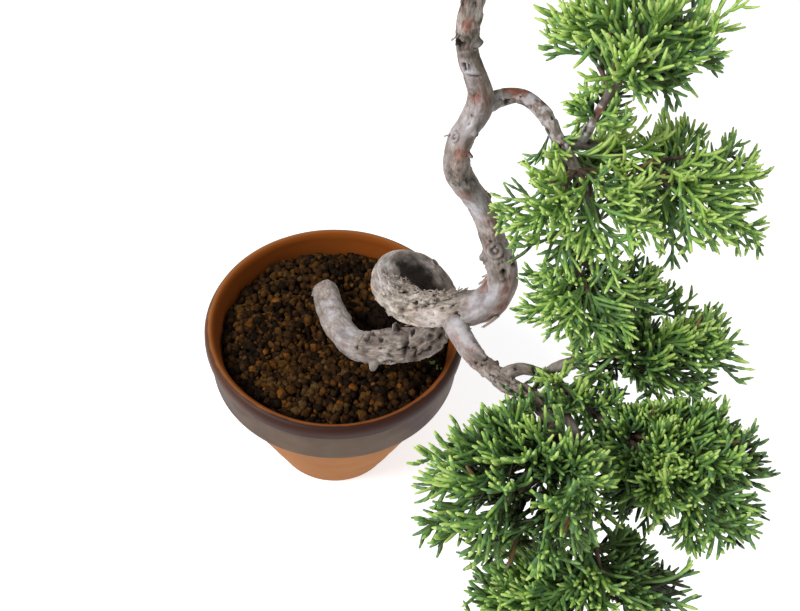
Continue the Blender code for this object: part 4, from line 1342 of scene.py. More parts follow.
@dataclass
class Wood:
    """The trunk and its boughs: one skin for the trunk and one for all boughs, with loose flakes of bark."""

    trunk_sides: int = 96
    bough_sides: int = 40
    flare: float = 0.3  # how much thicker a bough is where it leaves its limb
    flare_length: float = 7 * MM
    flared: tuple = (9 * MM, 3 * MM)  # the thickness from which on it has no flare, and over which it fades
    sunk: float = 5 * MM  # how far the first end of a bough lies inside its limb
    sunk_taper: float = 0.7  # how thick that end is, as a share
    tip_length: float = 2.5 * MM  # the end of a limb over which the relief fades
    tip_relief: float = 0.3  # the share of it that is left there
    dome_tip: float = 0.0025  # the square of the share of the radius that is left where the dome ends
    domed: tuple = (9, 24)  # of the trunk's length, in mm: over this stretch it rounds off into the soil
    throat: tuple = (41, -36, 179)  # the middle of the coil, in mm, round which shade is painted on the bark
    throat_reach: tuple = (146, 243)  # of the trunk's length, in mm
    throat_fade: float = 12  # mm over which the shade starts and ends
    # How much deeper the painted shade is, at distances along the trunk in mm, than its facing alone would
    # make it.
    throat_lean: tuple = ((160, -0.15), (172, 0.05), (186, 0.4), (195, 0.4), (201, 0.05), (214, -0.1))
    throat_ragged: tuple = (0.34, 4 * MM)  # how ragged the shade's edge is, and the size of its rags
    throat_edge: tuple = (-0.6, 0.84)  # the facings between which the shade deepens
    throat_depth: float = 0.97
    flakes: int = 90
    limbs: dict = field(default_factory=dict)

    def __post_init__(self) -> None:
        """Works out every limb by name."""
        self.limbs["trunk"] = Limb([station for stretch in TRUNK_STRETCHES.values() for station in stretch])
        for name, (_, stations) in BOUGHS.items():
            self.limbs[name] = Limb(stations)

    def build(self) -> list[bpy.types.Object]:
        """The dressed skins and flakes.

        Returns:
            The dressed pieces.
        """
        finish = JuniperBark().material()
        trunk = {"trunk": Bark(TRUNK_CHARACTER, TRUNK_MARKS)}
        smooth = Bark(BOUGH_CHARACTER, BOUGH_MARKS, fluting=0.03, seed=4)
        # Painted shade on the twiggy boughs, which stand among the leaves.
        twiggy = Bark(TWIGGY_CHARACTER, fluting=0.03, shade=0.4, seed=6)
        reddish = Bark(REDDISH_CHARACTER, fluting=0.03, pinkness=1.6, lichen=0.8, seed=5)
        known = {"bough_low": smooth, "bough_mid": reddish, "bough_upper": reddish}
        barks = {name: known.get(name, twiggy) for name in BOUGHS}
        trunk_bark = self.skin("trunk_bark", self.limbs, trunk, self.trunk_sides, finish)
        bough_bark = self.skin("bough_bark", self.limbs, barks, self.bough_sides, finish)
        return [dress(trunk_bark, "bark", *TRUNK_STRETCHES), dress(bough_bark, "bark", *BOUGHS),
                dress(self._flakes(finish), "bark")]

    def skin(self, name: str, limbs: dict, barks: dict, sides: int,
             finish: bpy.types.Material) -> bpy.types.Object:
        """The skin of some limbs: rings at every fine step, each point out by the radius and the relief.

        Args:
            name: The piece's name.
            limbs: Limbs by name.
            barks: The bark of each limb that gets a skin, by name.
            sides: How many points each ring has.
            finish: The bark's material.

        Returns:
            The piece, not yet dressed.
        """
        angle = 2 * math.pi * np.arange(sides) / sides
        vertices, faces, surface = [], [], []
        values = {key: [] for key in BARK_TONES}
        start = 0
        for order, (limb_name, bark) in enumerate(barks.items()):
            limb = limbs[limb_name]
            height, tones = bark.relief(limb, angle)
            steps = np.arange(len(limb.along))[:, None] + 0 * angle.astype(int)
            outwards = limb.outwards(steps, angle + 0 * steps)
            radius = limb.radius[:, None]
            away = limb.along[:, None]
            if limb_name == "trunk":
                buried, risen = self.domed
                short = np.clip((risen * MM - away) / (risen - buried) / MM, 0, 1)
                radius = radius * np.sqrt(1 + self.dome_tip - short**2)
            else:
                thick, fading = self.flared
                flare = self.flare * np.clip((thick - 2 * radius[0, 0]) / fading, 0, 1)
                radius = radius * (1 + flare * np.exp(-((away - self.sunk) / self.flare_length) ** 2))
                radius = radius * (self.sunk_taper + (1 - self.sunk_taper) * smooth_step(0, self.sunk, away))
            tip = smooth_step(0, self.tip_length, limb.length - away)
            relief = height * (self.tip_relief + (1 - self.tip_relief) * tip)
            ring = limb.line[:, None] + outwards * (radius + relief)[..., None]
            if limb_name == "trunk":
                tones["hollow"] = np.maximum(tones["hollow"], self._painted_throat_shade(limb, ring, outwards))
            rows = len(limb.along)
            vertices += [ring.reshape(-1, 3), limb.line[:1], limb.line[-1:]]
            faces += [part + start for part in tube_faces(rows, sides)]
            across = (angle * limb.radius.mean())[None] + 0 * away
            place = np.stack([across, away + 0 * across + 0.6 * order], axis=-1)
            surface += [place.reshape(-1, 2), np.zeros((2, 2))]
            for key in BARK_TONES:
                values[key] += [tones[key].ravel(), np.zeros(2)]
            start += rows * sides + 2
        return build_mesh(name, np.vstack(vertices), faces, [finish],
                          values={key: np.concatenate(parts) for key, parts in values.items()},
                          uv=np.vstack(surface))

    def _painted_throat_shade(self, limb: Limb, ring: np.ndarray, outwards: np.ndarray) -> np.ndarray:
        """How much shade is painted on the bark inside the coil: more where it faces the coil's middle, and
        only where it faces up and to the front.

        Args:
            limb: The trunk.
            ring: (steps, around, 3) places on its skin.
            outwards: The direction out of it at each place.

        Returns:
            (steps, around) shares of the hollows' tone.
        """
        inwards = unit(np.array(self.throat) * MM - ring)
        facing = (inwards * outwards).sum(axis=-1)
        low = (limb.along / MM - self.throat_reach[0]) / self.throat_fade
        high = (self.throat_reach[1] - limb.along / MM) / self.throat_fade
        window = np.clip(np.minimum(low, high), 0, 1)[:, None]
        lean = np.interp(limb.along / MM, *np.array(self.throat_lean).T)[:, None]
        strength, size = self.throat_ragged
        ragged = facing + lean + strength * Noise(77).layered(ring, size, 3)
        # Painted shade only on the faces turned up and to the front, towards the camera.
        upwards = smooth_step(-0.5, 0.1, outwards @ unit(np.array([0.0, -0.64, 0.77])))
        return self.throat_depth * smooth_step(*self.throat_edge, ragged) * window * upwards

    def _flakes(self, finish: bpy.types.Material) -> bpy.types.Object:
        """Loose flakes of bark: thin strips with one end on the trunk, which curl up and away from it.

        Each strip is a grid of 6 by 3 points: its height over the bark grows with the square of the
        distance from its held end, and its long edges turn up a little.

        Args:
            finish: The bark's material.

        Returns:
            The piece, not yet dressed.
        """
        random = np.random.default_rng(17)
        limb = self.limbs["trunk"]
        # Stretches of the trunk in mm, the arc of each in degrees, and its share of the flakes.
        zones = np.array([(106, 134, 0, 360, 0.14), (208, 262, 35, 125, 0.44), (208, 262, 125, 395, 0.1),
                          (288, 300, 0, 360, 0.12), (300, 430, 0, 360, 0.2)])
        zone = zones[random.choice(len(zones), self.flakes, p=zones[:, 4])]
        along = (zone[:, 0] + (zone[:, 1] - zone[:, 0]) * random.uniform(0, 1, self.flakes)) * MM
        around = np.radians(zone[:, 2] + (zone[:, 3] - zone[:, 2]) * random.uniform(0, 1, self.flakes))
        length = random.uniform(1.2, 3.6, self.flakes) * MM * random.choice([-1, 1], self.flakes)
        width = random.uniform(0.8, 1.9, self.flakes) * MM
        lift = random.uniform(0.2, 1.0, self.flakes) * MM
        # A hook and a hanging curl by the low bough, a flap outside the coil, torn skin above the bend.
        special = np.array([
            (257, 80, 2.2, 0.8, 1.9), (206, 352, 4.5, 2.2, 1.8), (250, 222, 2.2, 2.8, 4.4),
            (272, 236, -6.0, 3.4, 0.9), (215, 146, 2.2, 1.6, 1.3), (284, 112, -3.0, 1.8, 1.4),
            (289, 118, -2.6, 1.5, 1.2),
        ])
        special *= (MM, math.pi / 180, MM, MM, MM)
        along, around, length, width, lift = (
            np.concatenate([parts, added])[:, None, None]
            for parts, added in zip((along, around, length, width, lift), special.T))
        share, edge = np.meshgrid(np.linspace(0, 1, 6), np.linspace(-1, 1, 3), indexing="ij")
        grid = share.size
        skew = random.uniform(-0.4, 0.4, along.shape)
        distance = along + length * share
        step = limb.index(distance)
        radius = limb.radius[step]
        taper = 1 - 0.55 * share
        turn = around + (edge * width / 2 * taper + skew * length * share) / radius
        height = lift * share**2 + 0.12 * width * np.abs(edge) + 0.25 * MM * share - 0.25 * MM * (1 - share)
        points = limb.line[step] + limb.outwards(step, turn) * (radius * 1.02 + height)[..., None]
        cells = np.arange(grid).reshape(6, 3)
        quads = grid_faces(cells)[:, (0, 3, 2, 1)]
        tones = np.repeat(random.uniform(0, 1, len(points)), grid)
        surface = np.stack([np.broadcast_to(turn * radius, distance.shape), distance], axis=-1).reshape(-1, 2)
        # A few flakes, dealt at random, get painted shade.
        values = {"weathered": 1 + 0 * tones, "tan": tones, "brown": 0.4 * (1 - tones), "pink": tones * 0.2,
                  "pale": 0 * tones, "hollow": smooth_step(0.75, 1, tones) * 0.5}
        faces = repeated(quads, len(points), grid)
        piece = build_mesh("bark_flakes", points.reshape(-1, 3), [faces], [finish], values=values, uv=surface)
        wall = piece.modifiers.new("thickness", "SOLIDIFY")
        wall.thickness, wall.offset = 0.28 * MM, 0.0
        return piece


# ------------------------------------------------------------------ foliage
SHOOT_THICKNESS = 3.0 * MM  # of the solids' shoots, each of which stands for a small spray
TWIG_THICKNESS = 2.3 * MM
BARE_TWIG = (1.9 * MM, 1.3 * MM)  # how thick a twig's bare wood is, from its root to its leafy part
TWIG_STEPS = 20
SHOOT_LENGTH = 19 * MM
SHOOT_TRIES = (1, 0.85, 0.7, 0.55)
TARGET_SHARES = (0.42, 0.68)
SIDE_SHOOT_ANGLE = math.radians(38)
SIDE_SHOOTS = 3
SIDE_SHOOT_ROOTS = (0.05, 0.4, 0.75)
SHOOT_TEST_SHARES = np.linspace(0.2, 1, 5)
LEADER_LENGTHS = (0.8, 1.1)
SIDE_SHOOT_LENGTHS = (0.75, 1.05)
LEAN_SPREAD = (0.8, 1.2)
TURN_SPREAD = 0.4
TWIG_LIFT = 0.22
STEM_STEPS = 5
STEM_BEND = 0.5
STEM_REACH = 0.3
LIMB_GAP = 1.2 * MM
MASS_GAP = 1.6 * MM
CLEARANCE = 0.3 * MM


@dataclass(frozen=True)
class Mass:
    """A mass of foliage: its bough, the centre and half-sizes of its space in mm, its twigs and its seed.

    The cords of the low masses are old and full, and those of the crown are thinner.
    """

    bough: str
    centre: tuple
    reach: tuple
    twigs: int
    seed: int
    cord: float = 1.52  # how thick its cords are, in mm
    painted_sun: float = 0.0  # painted light: how much brighter its tints are painted than the low masses' tints
    shoots: int = 10  # further shoots along each twig


MASSES = {
    "low_left": Mass("bough_low", (60, -178, 250), (38, 32, 25), 14, 11, shoots=7),
    "low_front": Mass("bough_low_front", (87, -200, 211), (47, 28, 24), 14, 12, shoots=14),
    "low_right": Mass("bough_low_right", (126, -160, 229), (34, 32, 26), 13, 13, shoots=17),
    "low_back": Mass("bough_low_back", (118, -120, 250), (34, 26, 22), 11, 14, shoots=12),
    "mid_left": Mass("bough_mid", (88, -100, 306), (36, 30, 23), 20, 15, 1.35, 0.18, 6),
    "mid_right": Mass("bough_mid_right", (122, -96, 309), (28, 30, 20), 11, 16, 1.35, 0.18, 7),
    "mid_under": Mass("bough_mid_under", (90, -118, 279), (27, 22, 15), 10, 17, 1.4, 0.12, 8),
    "upper": Mass("bough_upper", (93, -84, 362), (32, 26, 22), 10, 18, 1.35, 0.22, 8),
    "crown_top": Mass("trunk_top", (46, -48, 436), (36, 34, 25), 11, 19, 1.35, 0.15, 8),
    "crown_left": Mass("bough_left", (2, -42, 405), (32, 30, 20), 9, 20, 1.35, 0.15, 8),
    "crown_back": Mass("bough_back", (30, 14, 396), (34, 32, 22), 10, 31, 1.35, 0.15, 8),
    "crown_right": Mass("bough_right", (90, -20, 402), (32, 30, 22), 10, 22, 1.35, 0.15, 8),
}


def sphere_direction(index: int, count: int, turn: float) -> np.ndarray:
    """The index-th of count even directions over a sphere, turned about +Z.

    Args:
        index: Which direction, from 0.
        count: How many there are.
        turn: The angle by which all are turned.

    Returns:
        The unit direction.
    """
    height = 1 - 2 * (index + 0.5) / count
    around = GOLDEN_ANGLE * index + turn
    level = math.sqrt(1 - height * height)
    return np.array([level * math.cos(around), level * math.sin(around), height])


def bow(start: np.ndarray, bend: np.ndarray, end: np.ndarray, steps: int) -> np.ndarray:
    """Points on the curve from start to end that leans towards bend."""
    t = np.linspace(0, 1, steps + 1)[:, None]
    return (1 - t) ** 2 * start + 2 * t * (1 - t) * bend + t**2 * end


def twig_curve(twig: np.ndarray) -> np.ndarray:
    """The curve through a twig's root, middle and target."""
    return bow(twig[0], twig[1] * 2 - (twig[0] + twig[2]) / 2, twig[2], TWIG_STEPS)


class Space:
    """The room that each mass keeps to: an ellipsoid, less what lies nearer the next mass or any wood."""

    CLOTHING_LIMIT = 1.4

    def __init__(self, limbs: dict) -> None:
        """Takes the masses' ellipsoids and every limb's line."""
        self.centres = np.array([mass.centre for mass in MASSES.values()]) * MM
        self.reaches = np.array([mass.reach for mass in MASSES.values()]) * MM
        self.wood = np.concatenate([limb.line[::4] for limb in limbs.values()])
        self.wood_radius = np.concatenate([limb.radius[::4] for limb in limbs.values()])
        self.wood_owner = np.full(len(self.wood), -1)

    def add_stem(self, owner: int, line: np.ndarray, thickness: float, tip_thickness: float) -> None:
        """Keeps the other masses clear of one mass's stem.

        Args:
            owner: The mass's number.
            line: The stem's points.
            thickness: At its root.
            tip_thickness: At its tip.
        """
        share = np.linspace(0, 1, 40)
        points = resampled(line, share)
        self.wood = np.concatenate([self.wood, points])
        radius = ((1 - share) * thickness + share * tip_thickness) / 2
        self.wood_radius = np.concatenate([self.wood_radius, radius])
        self.wood_owner = np.concatenate([self.wood_owner, np.full(len(points), owner)])

    def _shares(self, index: int, points: np.ndarray) -> tuple[np.ndarray, np.ndarray]:
        """How far out points lie in the space of one mass, and in the nearest space of the others."""
        share = np.linalg.norm((points[:, None] - self.centres) / self.reaches, axis=2)
        return share[:, index], np.delete(share, index, axis=1).min(axis=1)

    def holds(self, index: int, points: np.ndarray, thickness: float) -> bool:
        """Whether every point, with its thickness, keeps to the space of mass number index.

        Args:
            index: The mass's number.
            points: (n, 3) places.
            thickness: How far the wood reaches round each.

        Returns:
            Whether all of them are inside.
        """
        own, rest = self._shares(index, points)
        margin = (MASS_GAP + thickness) / self.reaches.min() / 2
        if (own > 1.0).any() or (own > rest - margin).any():
            return False
        others = self.wood_owner != index
        gaps = np.linalg.norm(points[:, None] - self.wood[others], axis=2) - self.wood_radius[others]
        return bool(gaps.min() > thickness + LIMB_GAP)

    def keeps(self, index: int, points: np.ndarray, limit: np.ndarray) -> np.ndarray:
        """Which cords, as (n, k, 3) points, lie within limit shares of their space and clear of the limbs.

        The shoots on a mass's bough, whose limit is high, may pass through the spaces of the others.

        Args:
            index: The mass's number.
            points: (n, k, 3) places, k on each of n cords.
            limit: (n, 1) how far out each cord may go.

        Returns:
            (n,) whether each cord keeps to it.
        """
        flat = points.reshape(-1, 3)
        own, rest = self._shares(index, flat)
        limbs = self.wood_owner == -1
        near = np.linalg.norm(flat[:, None] - self.wood[limbs], axis=2) - self.wood_radius[limbs]
        shape = points.shape[:2]
        slack = np.where(limit > self.CLOTHING_LIMIT, 0.9, 0.1)
        clear = (near.min(axis=1) > 1.0 * MM).reshape(shape)
        own, rest = own.reshape(shape), rest.reshape(shape)
        return (clear & (own < rest + slack) & (own < limit)).all(axis=1)

    def share(self, index: int, points: np.ndarray) -> np.ndarray:
        """How far out points lie in the space of one mass: 0 at its centre and 1 at its skin."""
        return np.linalg.norm((points - self.centres[index]) / self.reaches[index], axis=-1)


class Growth:
    """The seeded rule that fills one mass: a stem, twigs towards even targets, and shoots along them."""

    def __init__(self, name: str, limbs: dict, space: Space) -> None:
        """Grows the stem and marks its room.

        Args:
            name: The mass's name.
            limbs: Every limb, by name.
            space: The room that all masses share.
        """
        self.name = name
        self.mass = MASSES[name]
        self.index = list(MASSES).index(name)
        self.space = space
        self.random = np.random.default_rng(self.mass.seed)
        self.centre = np.array(self.mass.centre) * MM
        self.reach = np.array(self.mass.reach) * MM
        carrier = limbs["trunk" if self.mass.bough == "trunk_top" else self.mass.bough]
        self.carrier = carrier
        self.heading = carrier.heading[-1]
        self.root = carrier.line[-1] + self.heading * CLEARANCE
        self.thickness = 2 * carrier.radius[-1]
        inwards = self.centre - self.root
        end = self.centre + unit(inwards) * self.reach.min() * STEM_REACH
        bend = self.root + self.heading * np.linalg.norm(inwards) * STEM_BEND
        self.stem = bow(self.root, bend, end, STEM_STEPS)
        space.add_stem(self.index, self.stem, self.thickness, TWIG_THICKNESS)

    def twigs(self) -> list[np.ndarray]:
        """The line of each twig that keeps to the space: from the stem through its target to its tip.

        Returns:
            Rows of root, middle, target and tip for each twig.
        """
        lines = []
        turn = self.random.uniform(0, 2 * math.pi)
        for k in range(self.mass.twigs):
            direction = sphere_direction(k, self.mass.twigs, turn)
            target = self.centre + direction * self.reach * self.random.uniform(*TARGET_SHARES)
            leader = SHOOT_LENGTH * self.random.uniform(*LEADER_LENGTHS)
            tries = [
                self._twig(self.stem[1 + (k + later) % (len(self.stem) - 2)], target, leader * share)
                for share in SHOOT_TRIES
                for later in range(len(self.stem) - 2)
            ]
            held = (line for line in tries if self.space.holds(self.index, line[1:], SHOOT_THICKNESS / 2))
            line = next(held, None)
            if line is not None:
                lines.append(line)
        return lines

    @staticmethod
    def _twig(start: np.ndarray, target: np.ndarray, leader: float) -> np.ndarray:
        """A twig's line: it bows up from the stem to its target, and its leading shoot goes straight on."""
        lift = np.array([0, 0, TWIG_LIFT * np.linalg.norm(target - start)])
        line = bow(start, (start + target) / 2 + lift, target, 2)
        return np.vstack([line, line[-1] + unit(line[-1] - line[-2]) * leader])

    def side_shoots(self, twig: np.ndarray) -> list[tuple[np.ndarray, np.ndarray]]:
        """The (root, tip) pairs of a twig's side shoots that keep to the space.

        Args:
            twig: The twig's line.

        Returns:
            The places of root and tip of each.
        """
        heading = twig[-2] - twig[-3]
        step = np.linalg.norm(heading)
        heading = heading / step
        side = np.cross(heading, (0.0, 0.0, 1.0))
        side = side / max(np.linalg.norm(side), 1e-6)
        across = np.cross(heading, side)
        turn = self.random.uniform(0, 2 * math.pi)
        pairs = []
        for k in range(SIDE_SHOOTS):
            around = turn + 2 * math.pi * k / SIDE_SHOOTS + self.random.uniform(-TURN_SPREAD, TURN_SPREAD)
            out = side * math.cos(around) + across * math.sin(around)
            lean = SIDE_SHOOT_ANGLE * self.random.uniform(*LEAN_SPREAD)
            direction = heading * math.cos(lean) + out * math.sin(lean)
            length = SHOOT_LENGTH * self.random.uniform(*SIDE_SHOOT_LENGTHS)
            root = twig[-2] - heading * step * SIDE_SHOOT_ROOTS[k]
            for share in SHOOT_TRIES:
                tip = root + direction * length * share
                points = root + (tip - root) * SHOOT_TEST_SHARES[:, None]
                if self.space.holds(self.index, points, SHOOT_THICKNESS / 2):
                    pairs.append((root, tip))
                    break
        return pairs


@dataclass
class Cords:
    """Arrays of cord-like shoots: each starts at a root, sets out along a heading and bends as it goes."""

    root: np.ndarray
    heading: np.ndarray
    bend: np.ndarray
    length: np.ndarray
    order: np.ndarray  # 0 for a spray's axis, 1 for its branchlets, 2 for theirs
    limit: np.ndarray  # how far out in its mass's space it may end

    def __len__(self) -> int:
        """How many cords there are."""
        return len(self.length)

    def at(self, share: np.ndarray) -> np.ndarray:
        """(n, k, 3) places at shares of each length: root + length * (heading * t + bend * t squared)."""
        t = np.atleast_2d(share)[..., None]
        return self.root[:, None] + self.length[:, None, None] * (
            self.heading[:, None] * t + self.bend[:, None] * t * t)

    def pick(self, chosen: np.ndarray) -> "Cords":
        """Some of the cords."""
        return Cords(*(getattr(self, part.name)[chosen] for part in fields(self)))

    @staticmethod
    def joined(parts: Sequence["Cords"]) -> "Cords":
        """All cords of several lots in one."""
        return Cords(*(np.concatenate([getattr(part, key.name) for part in parts]) for key in fields(Cords)))


@dataclass
class Sprays:
    """The finer foliage of one mass: cords branch off each shoot of its growth, and again off those."""

    growth: Growth
    branchlet_angle: float = math.radians(39)
    branchlets: int = 5
    forks: int = 2
    forked: float = 0.35  # the share of the forks that grow
    bare: int = 8  # twentieths of each twig that are bare wood
    light: tuple = (-0.5, 0.42, 0.76)  # where the light comes from that the shoots turn to
    pulls: tuple = (0.12, 0.24, 0.09)  # how much they bend outwards, to the light and by chance
    scale_pitch: float = 1.5 * MM  # from one pair of scale leaves to the next
    reach: tuple = (0.96, 1.08)  # how far out in its space the growth's own shoots may end
    vigour: tuple = (0.55, 1.1)  # and the further shoots, each twig's lot alike
    stray: float = 0.12  # the share of the shoots that outgrow the rest, up to stray_limit
    stray_limit: tuple = (1.1, 1.26)
    clothed: tuple = (0.45, 0.73)  # the shares of a thin and a stout bough after which shoots clothe it
    clothed_top: float = 14 * MM  # the end of the trunk that they clothe
    clothing_pitch: float = 1 * MM
    clothing_length: tuple = (6, 17)  # in mm
    clothing_limit: tuple = (1.45, 2.4)  # how far out in the mass's space they may end
    further_lean: tuple = (0.45, 0.95)  # the angle at which the further shoots leave their twig
    further_length: tuple = (0.8, 1.6)  # in shares of a shoot's length
    thickness: tuple = (0.82, 1.15)  # in shares of the mass's own
    stout: float = 2.6 * MM  # the radius at its root over which a bough is stout
    painted_sun: tuple = (-0.35, -0.45, 0.82)  # where the painted light comes from that brightens the scale leaves' tints
    patch: float = 15 * MM  # the size of the brighter and darker patches
    brightening: tuple = (0.45, 0.4, 0.36, 0.09)  # painted light by place outwards and towards the sun, then by patch and by chance
    youth: tuple = (0.36, 0.5)  # how much brighter a cord's young tip is, and how much more so where full light is painted
    unevenness: float = 0.06  # how much the brightness changes by chance along a cord
    tint_steps: tuple = (0.12, 0.38, 0.42, 0.72, 0.94, 1.16)  # where one tint gives way to the next
    blue: float = 0.3  # the share of the middling cords that are bluish
    dry: float = 0.003  # the share of the cords that have dried

    def __post_init__(self) -> None:
        """Starts the mass's own chances: one lot for its growth and one for its tints."""
        self.random = np.random.default_rng([self.growth.mass.seed, 7])
        self.tinting = np.random.default_rng([self.growth.mass.seed, 9])

    def grow(self) -> tuple[Cords, list[np.ndarray]]:
        """Every cord of one mass, and the lines of its twigs.

        Returns:
            The cords that keep to the mass's space, and the twigs' lines.
        """
        random, growth = self.random, self.growth
        twigs = growth.twigs()
        starts, ends = [], []
        for twig in twigs:
            starts.append(twig[-2])
            ends.append(twig[-1])
            for root, tip in growth.side_shoots(twig):
                starts.append(root)
                ends.append(tip)
        way = np.array(ends) - np.array(starts)
        count = len(way)
        length = np.linalg.norm(way, axis=1) * random.uniform(1.0, 1.5, count)
        outgrown = random.uniform(0, 1, count) < self.stray
        limit = np.where(outgrown, random.uniform(*self.stray_limit, count),
                         random.uniform(*self.reach, count))
        axes = self._cords(np.array(starts), unit(way), length, 0, limit)
        axes = self._kept(Cords.joined([axes, self._fill(twigs), self._clothing()]))
        first = self._kept(self._branch(axes, self.branchlets, (0.06, 0.86), (0.5, 4.4 * MM), 1))
        second = self._branch(first, self.forks, (0.25, 0.7), (0.45, 3.2 * MM), 2)
        second = self._kept(second.pick(random.uniform(0, 1, len(second)) < self.forked))
        return Cords.joined([self._leafy_twigs(twigs), axes, first, second]), twigs

    def _leafy_twigs(self, twigs: list[np.ndarray]) -> Cords:
        """The outer part of each twig, still clad in scale leaves, as cords along the twig's own curve.

        Args:
            twigs: The twigs' lines.

        Returns:
            One cord a twig.
        """
        lines = np.array([twig_curve(twig) for twig in twigs])
        root, middle, end = lines[:, self.bare], lines[:, (TWIG_STEPS + self.bare) // 2], lines[:, -1]
        length = np.linalg.norm(end - root, axis=1)
        heading = (4 * (middle - root) - (end - root)) / length[:, None]
        bend = (2 * (end - root) - 4 * (middle - root)) / length[:, None]
        return Cords(root, heading, bend, length, np.zeros(len(lines)), np.ones(len(lines)))

    def _cords(self, root: np.ndarray, heading: np.ndarray, length: np.ndarray, order: int,
               limit: np.ndarray) -> Cords:
        """Cords that turn a little towards the light and away from the mass's centre as they go.

        Args:
            root: (..., 3) where they start.
            heading: (..., 3) unit directions in which they set out.
            length: (...,) lengths.
            order: 0, 1 or 2, as in Cords.
            limit: How far out each may end.

        Returns:
            The cords.
        """
        root, heading, length = root.reshape(-1, 3), heading.reshape(-1, 3), length.ravel()
        out, lightwards, chance = self.pulls
        pull = (out * self._outwards(root) + lightwards * np.array(self.light)
                + self.random.normal(0, chance, root.shape))
        bend = pull - heading * (pull * heading).sum(axis=1, keepdims=True)
        return Cords(root, heading, bend, length, np.full(len(length), order), limit.ravel())

    def _outwards(self, places: np.ndarray) -> np.ndarray:
        """The direction out of the mass's ellipsoid at each place."""
        return unit((places - self.growth.centre) / self.growth.reach)

    def _fill(self, twigs: list[np.ndarray]) -> Cords:
        """Further shoots along the twigs, at even shares of their length, leaning off them at random.

        Args:
            twigs: The twigs' lines.

        Returns:
            The cords.
        """
        random, lines, count = self.random, np.array(twigs), self.growth.mass.shoots
        share = (np.arange(count) + random.uniform(0.1, 0.9, (len(lines), count))) / count * 1.75 + 0.25
        span = np.minimum(share.astype(int), 1)
        part = (share - span)[..., None]
        rows = np.arange(len(lines))[:, None]
        before, after = lines[rows, span], lines[rows, span + 1]
        root = before + (after - before) * part
        heading = unit(after - before)
        out = unit(np.cross(heading, random.normal(0, 1, heading.shape)))
        lean = random.uniform(*self.further_lean, share.shape)[..., None]
        direction = unit(heading * np.cos(lean) + out * np.sin(lean) + 0.3 * self._outwards(root))
        length = SHOOT_LENGTH * random.uniform(*self.further_length, share.shape)
        limit = random.uniform(*self.vigour, (len(lines), 1)) + random.normal(0, 0.04, share.shape)
        return self._cords(root, direction, length, 0, limit)

    def _clothing(self) -> Cords:
        """Short shoots on the outer part of the mass's bough, or on the trunk's top, leaning off all round.

        Returns:
            The cords.
        """
        random, bough = self.random, self.growth.carrier
        if self.growth.mass.bough == "trunk_top":
            first = bough.length - self.clothed_top
        else:
            first = bough.length * self.clothed[bool(bough.radius[0] > self.stout)]
        steps = np.flatnonzero(bough.along > first)
        steps = random.choice(steps, max(4, int(len(steps) * bough.FINE / self.clothing_pitch)))
        around = random.uniform(0, 2 * math.pi, len(steps))
        out = bough.outwards(steps, around)
        lean = random.uniform(0.5, 1.0, (len(steps), 1))
        direction = bough.heading[steps] * np.cos(lean) + out * np.sin(lean)
        root = bough.line[steps] + out * bough.radius[steps, None] * 0.8
        length = random.uniform(*self.clothing_length, len(steps)) * MM
        limit = random.uniform(*self.clothing_limit, len(steps))
        return self._cords(root, direction, length, 0, limit)

    def _branch(self, parent: Cords, count: int, span: tuple, size: tuple, order: int) -> Cords:
        """Branchlets on both sides of their parents, shorter towards the tip, so that a spray ends in a fan.

        Args:
            parent: The cords that they leave.
            count: How many each parent has.
            span: The shares of the parent's length between which they stand.
            size: Their length, as a share of what is left of the parent and a length added to it.
            order: 1 or 2.

        Returns:
            The branchlets.
        """
        random, number = self.random, np.arange(count)
        t = span[0] + (span[1] - span[0]) * (number + random.uniform(0.1, 0.9, (len(parent), count))) / count
        root = parent.at(t)
        heading = unit(parent.heading[:, None] + 2 * parent.bend[:, None] * t[..., None])
        plane = unit(np.cross(parent.heading, random.normal(0, 1, parent.heading.shape)))[:, None]
        across = np.cross(heading, plane)
        tilt = random.normal(0, 0.4, t.shape)[..., None]
        sign = np.where(number % 2 == 0, 1, -1)[None, :, None]
        out = sign * (plane * np.cos(tilt) + across * np.sin(tilt))
        lean = (self.branchlet_angle * random.uniform(0.75, 1.25, t.shape))[..., None]
        direction = unit(heading * np.cos(lean) + out * np.sin(lean))
        length = (parent.length[:, None] * size[0] * (1 - t) + size[1]) * random.uniform(0.75, 1.25, t.shape)
        limit = np.repeat(parent.limit + 0.05, count)
        return self._cords(root, direction, length, order, limit)

    def _kept(self, cords: Cords) -> Cords:
        """The cords that keep to the space, each at the longest of a few shares of its length.

        Args:
            cords: The cords to try.

        Returns:
            Those that fit, at their new lengths.
        """
        kept = []
        for share in SHOOT_TRIES:
            tried = replace(cords, length=cords.length * share)
            points = tried.at(np.array([0.35, 0.7, 1.0]))
            good = self.growth.space.keeps(self.growth.index, points, cords.limit[:, None])
            kept.append(tried.pick(good))
            cords = cords.pick(~good)
        return Cords.joined(kept)

    def painted_light_and_patches(self, cords: Cords) -> np.ndarray:
        """How bright each cord is painted: painted light further out and towards the sun, and patches.

        Args:
            cords: The cords.

        Returns:
            (n,) painted brightness, about 0 for painted shade and 1 for full painted light.
        """
        growth, tip = self.growth, cords.at(np.array([1.0]))[:, 0]
        out = growth.space.share(growth.index, tip)
        towards = ((tip - growth.centre) / growth.reach) @ unit(np.array(self.painted_sun))
        patches = Noise(growth.mass.seed).layered(tip, self.patch, 2)
        by_out, by_sun, by_patch, chance = self.brightening
        return (out * by_out + towards * by_sun + by_patch * patches
                + self.tinting.normal(0, chance, len(cords)) + growth.mass.painted_sun)

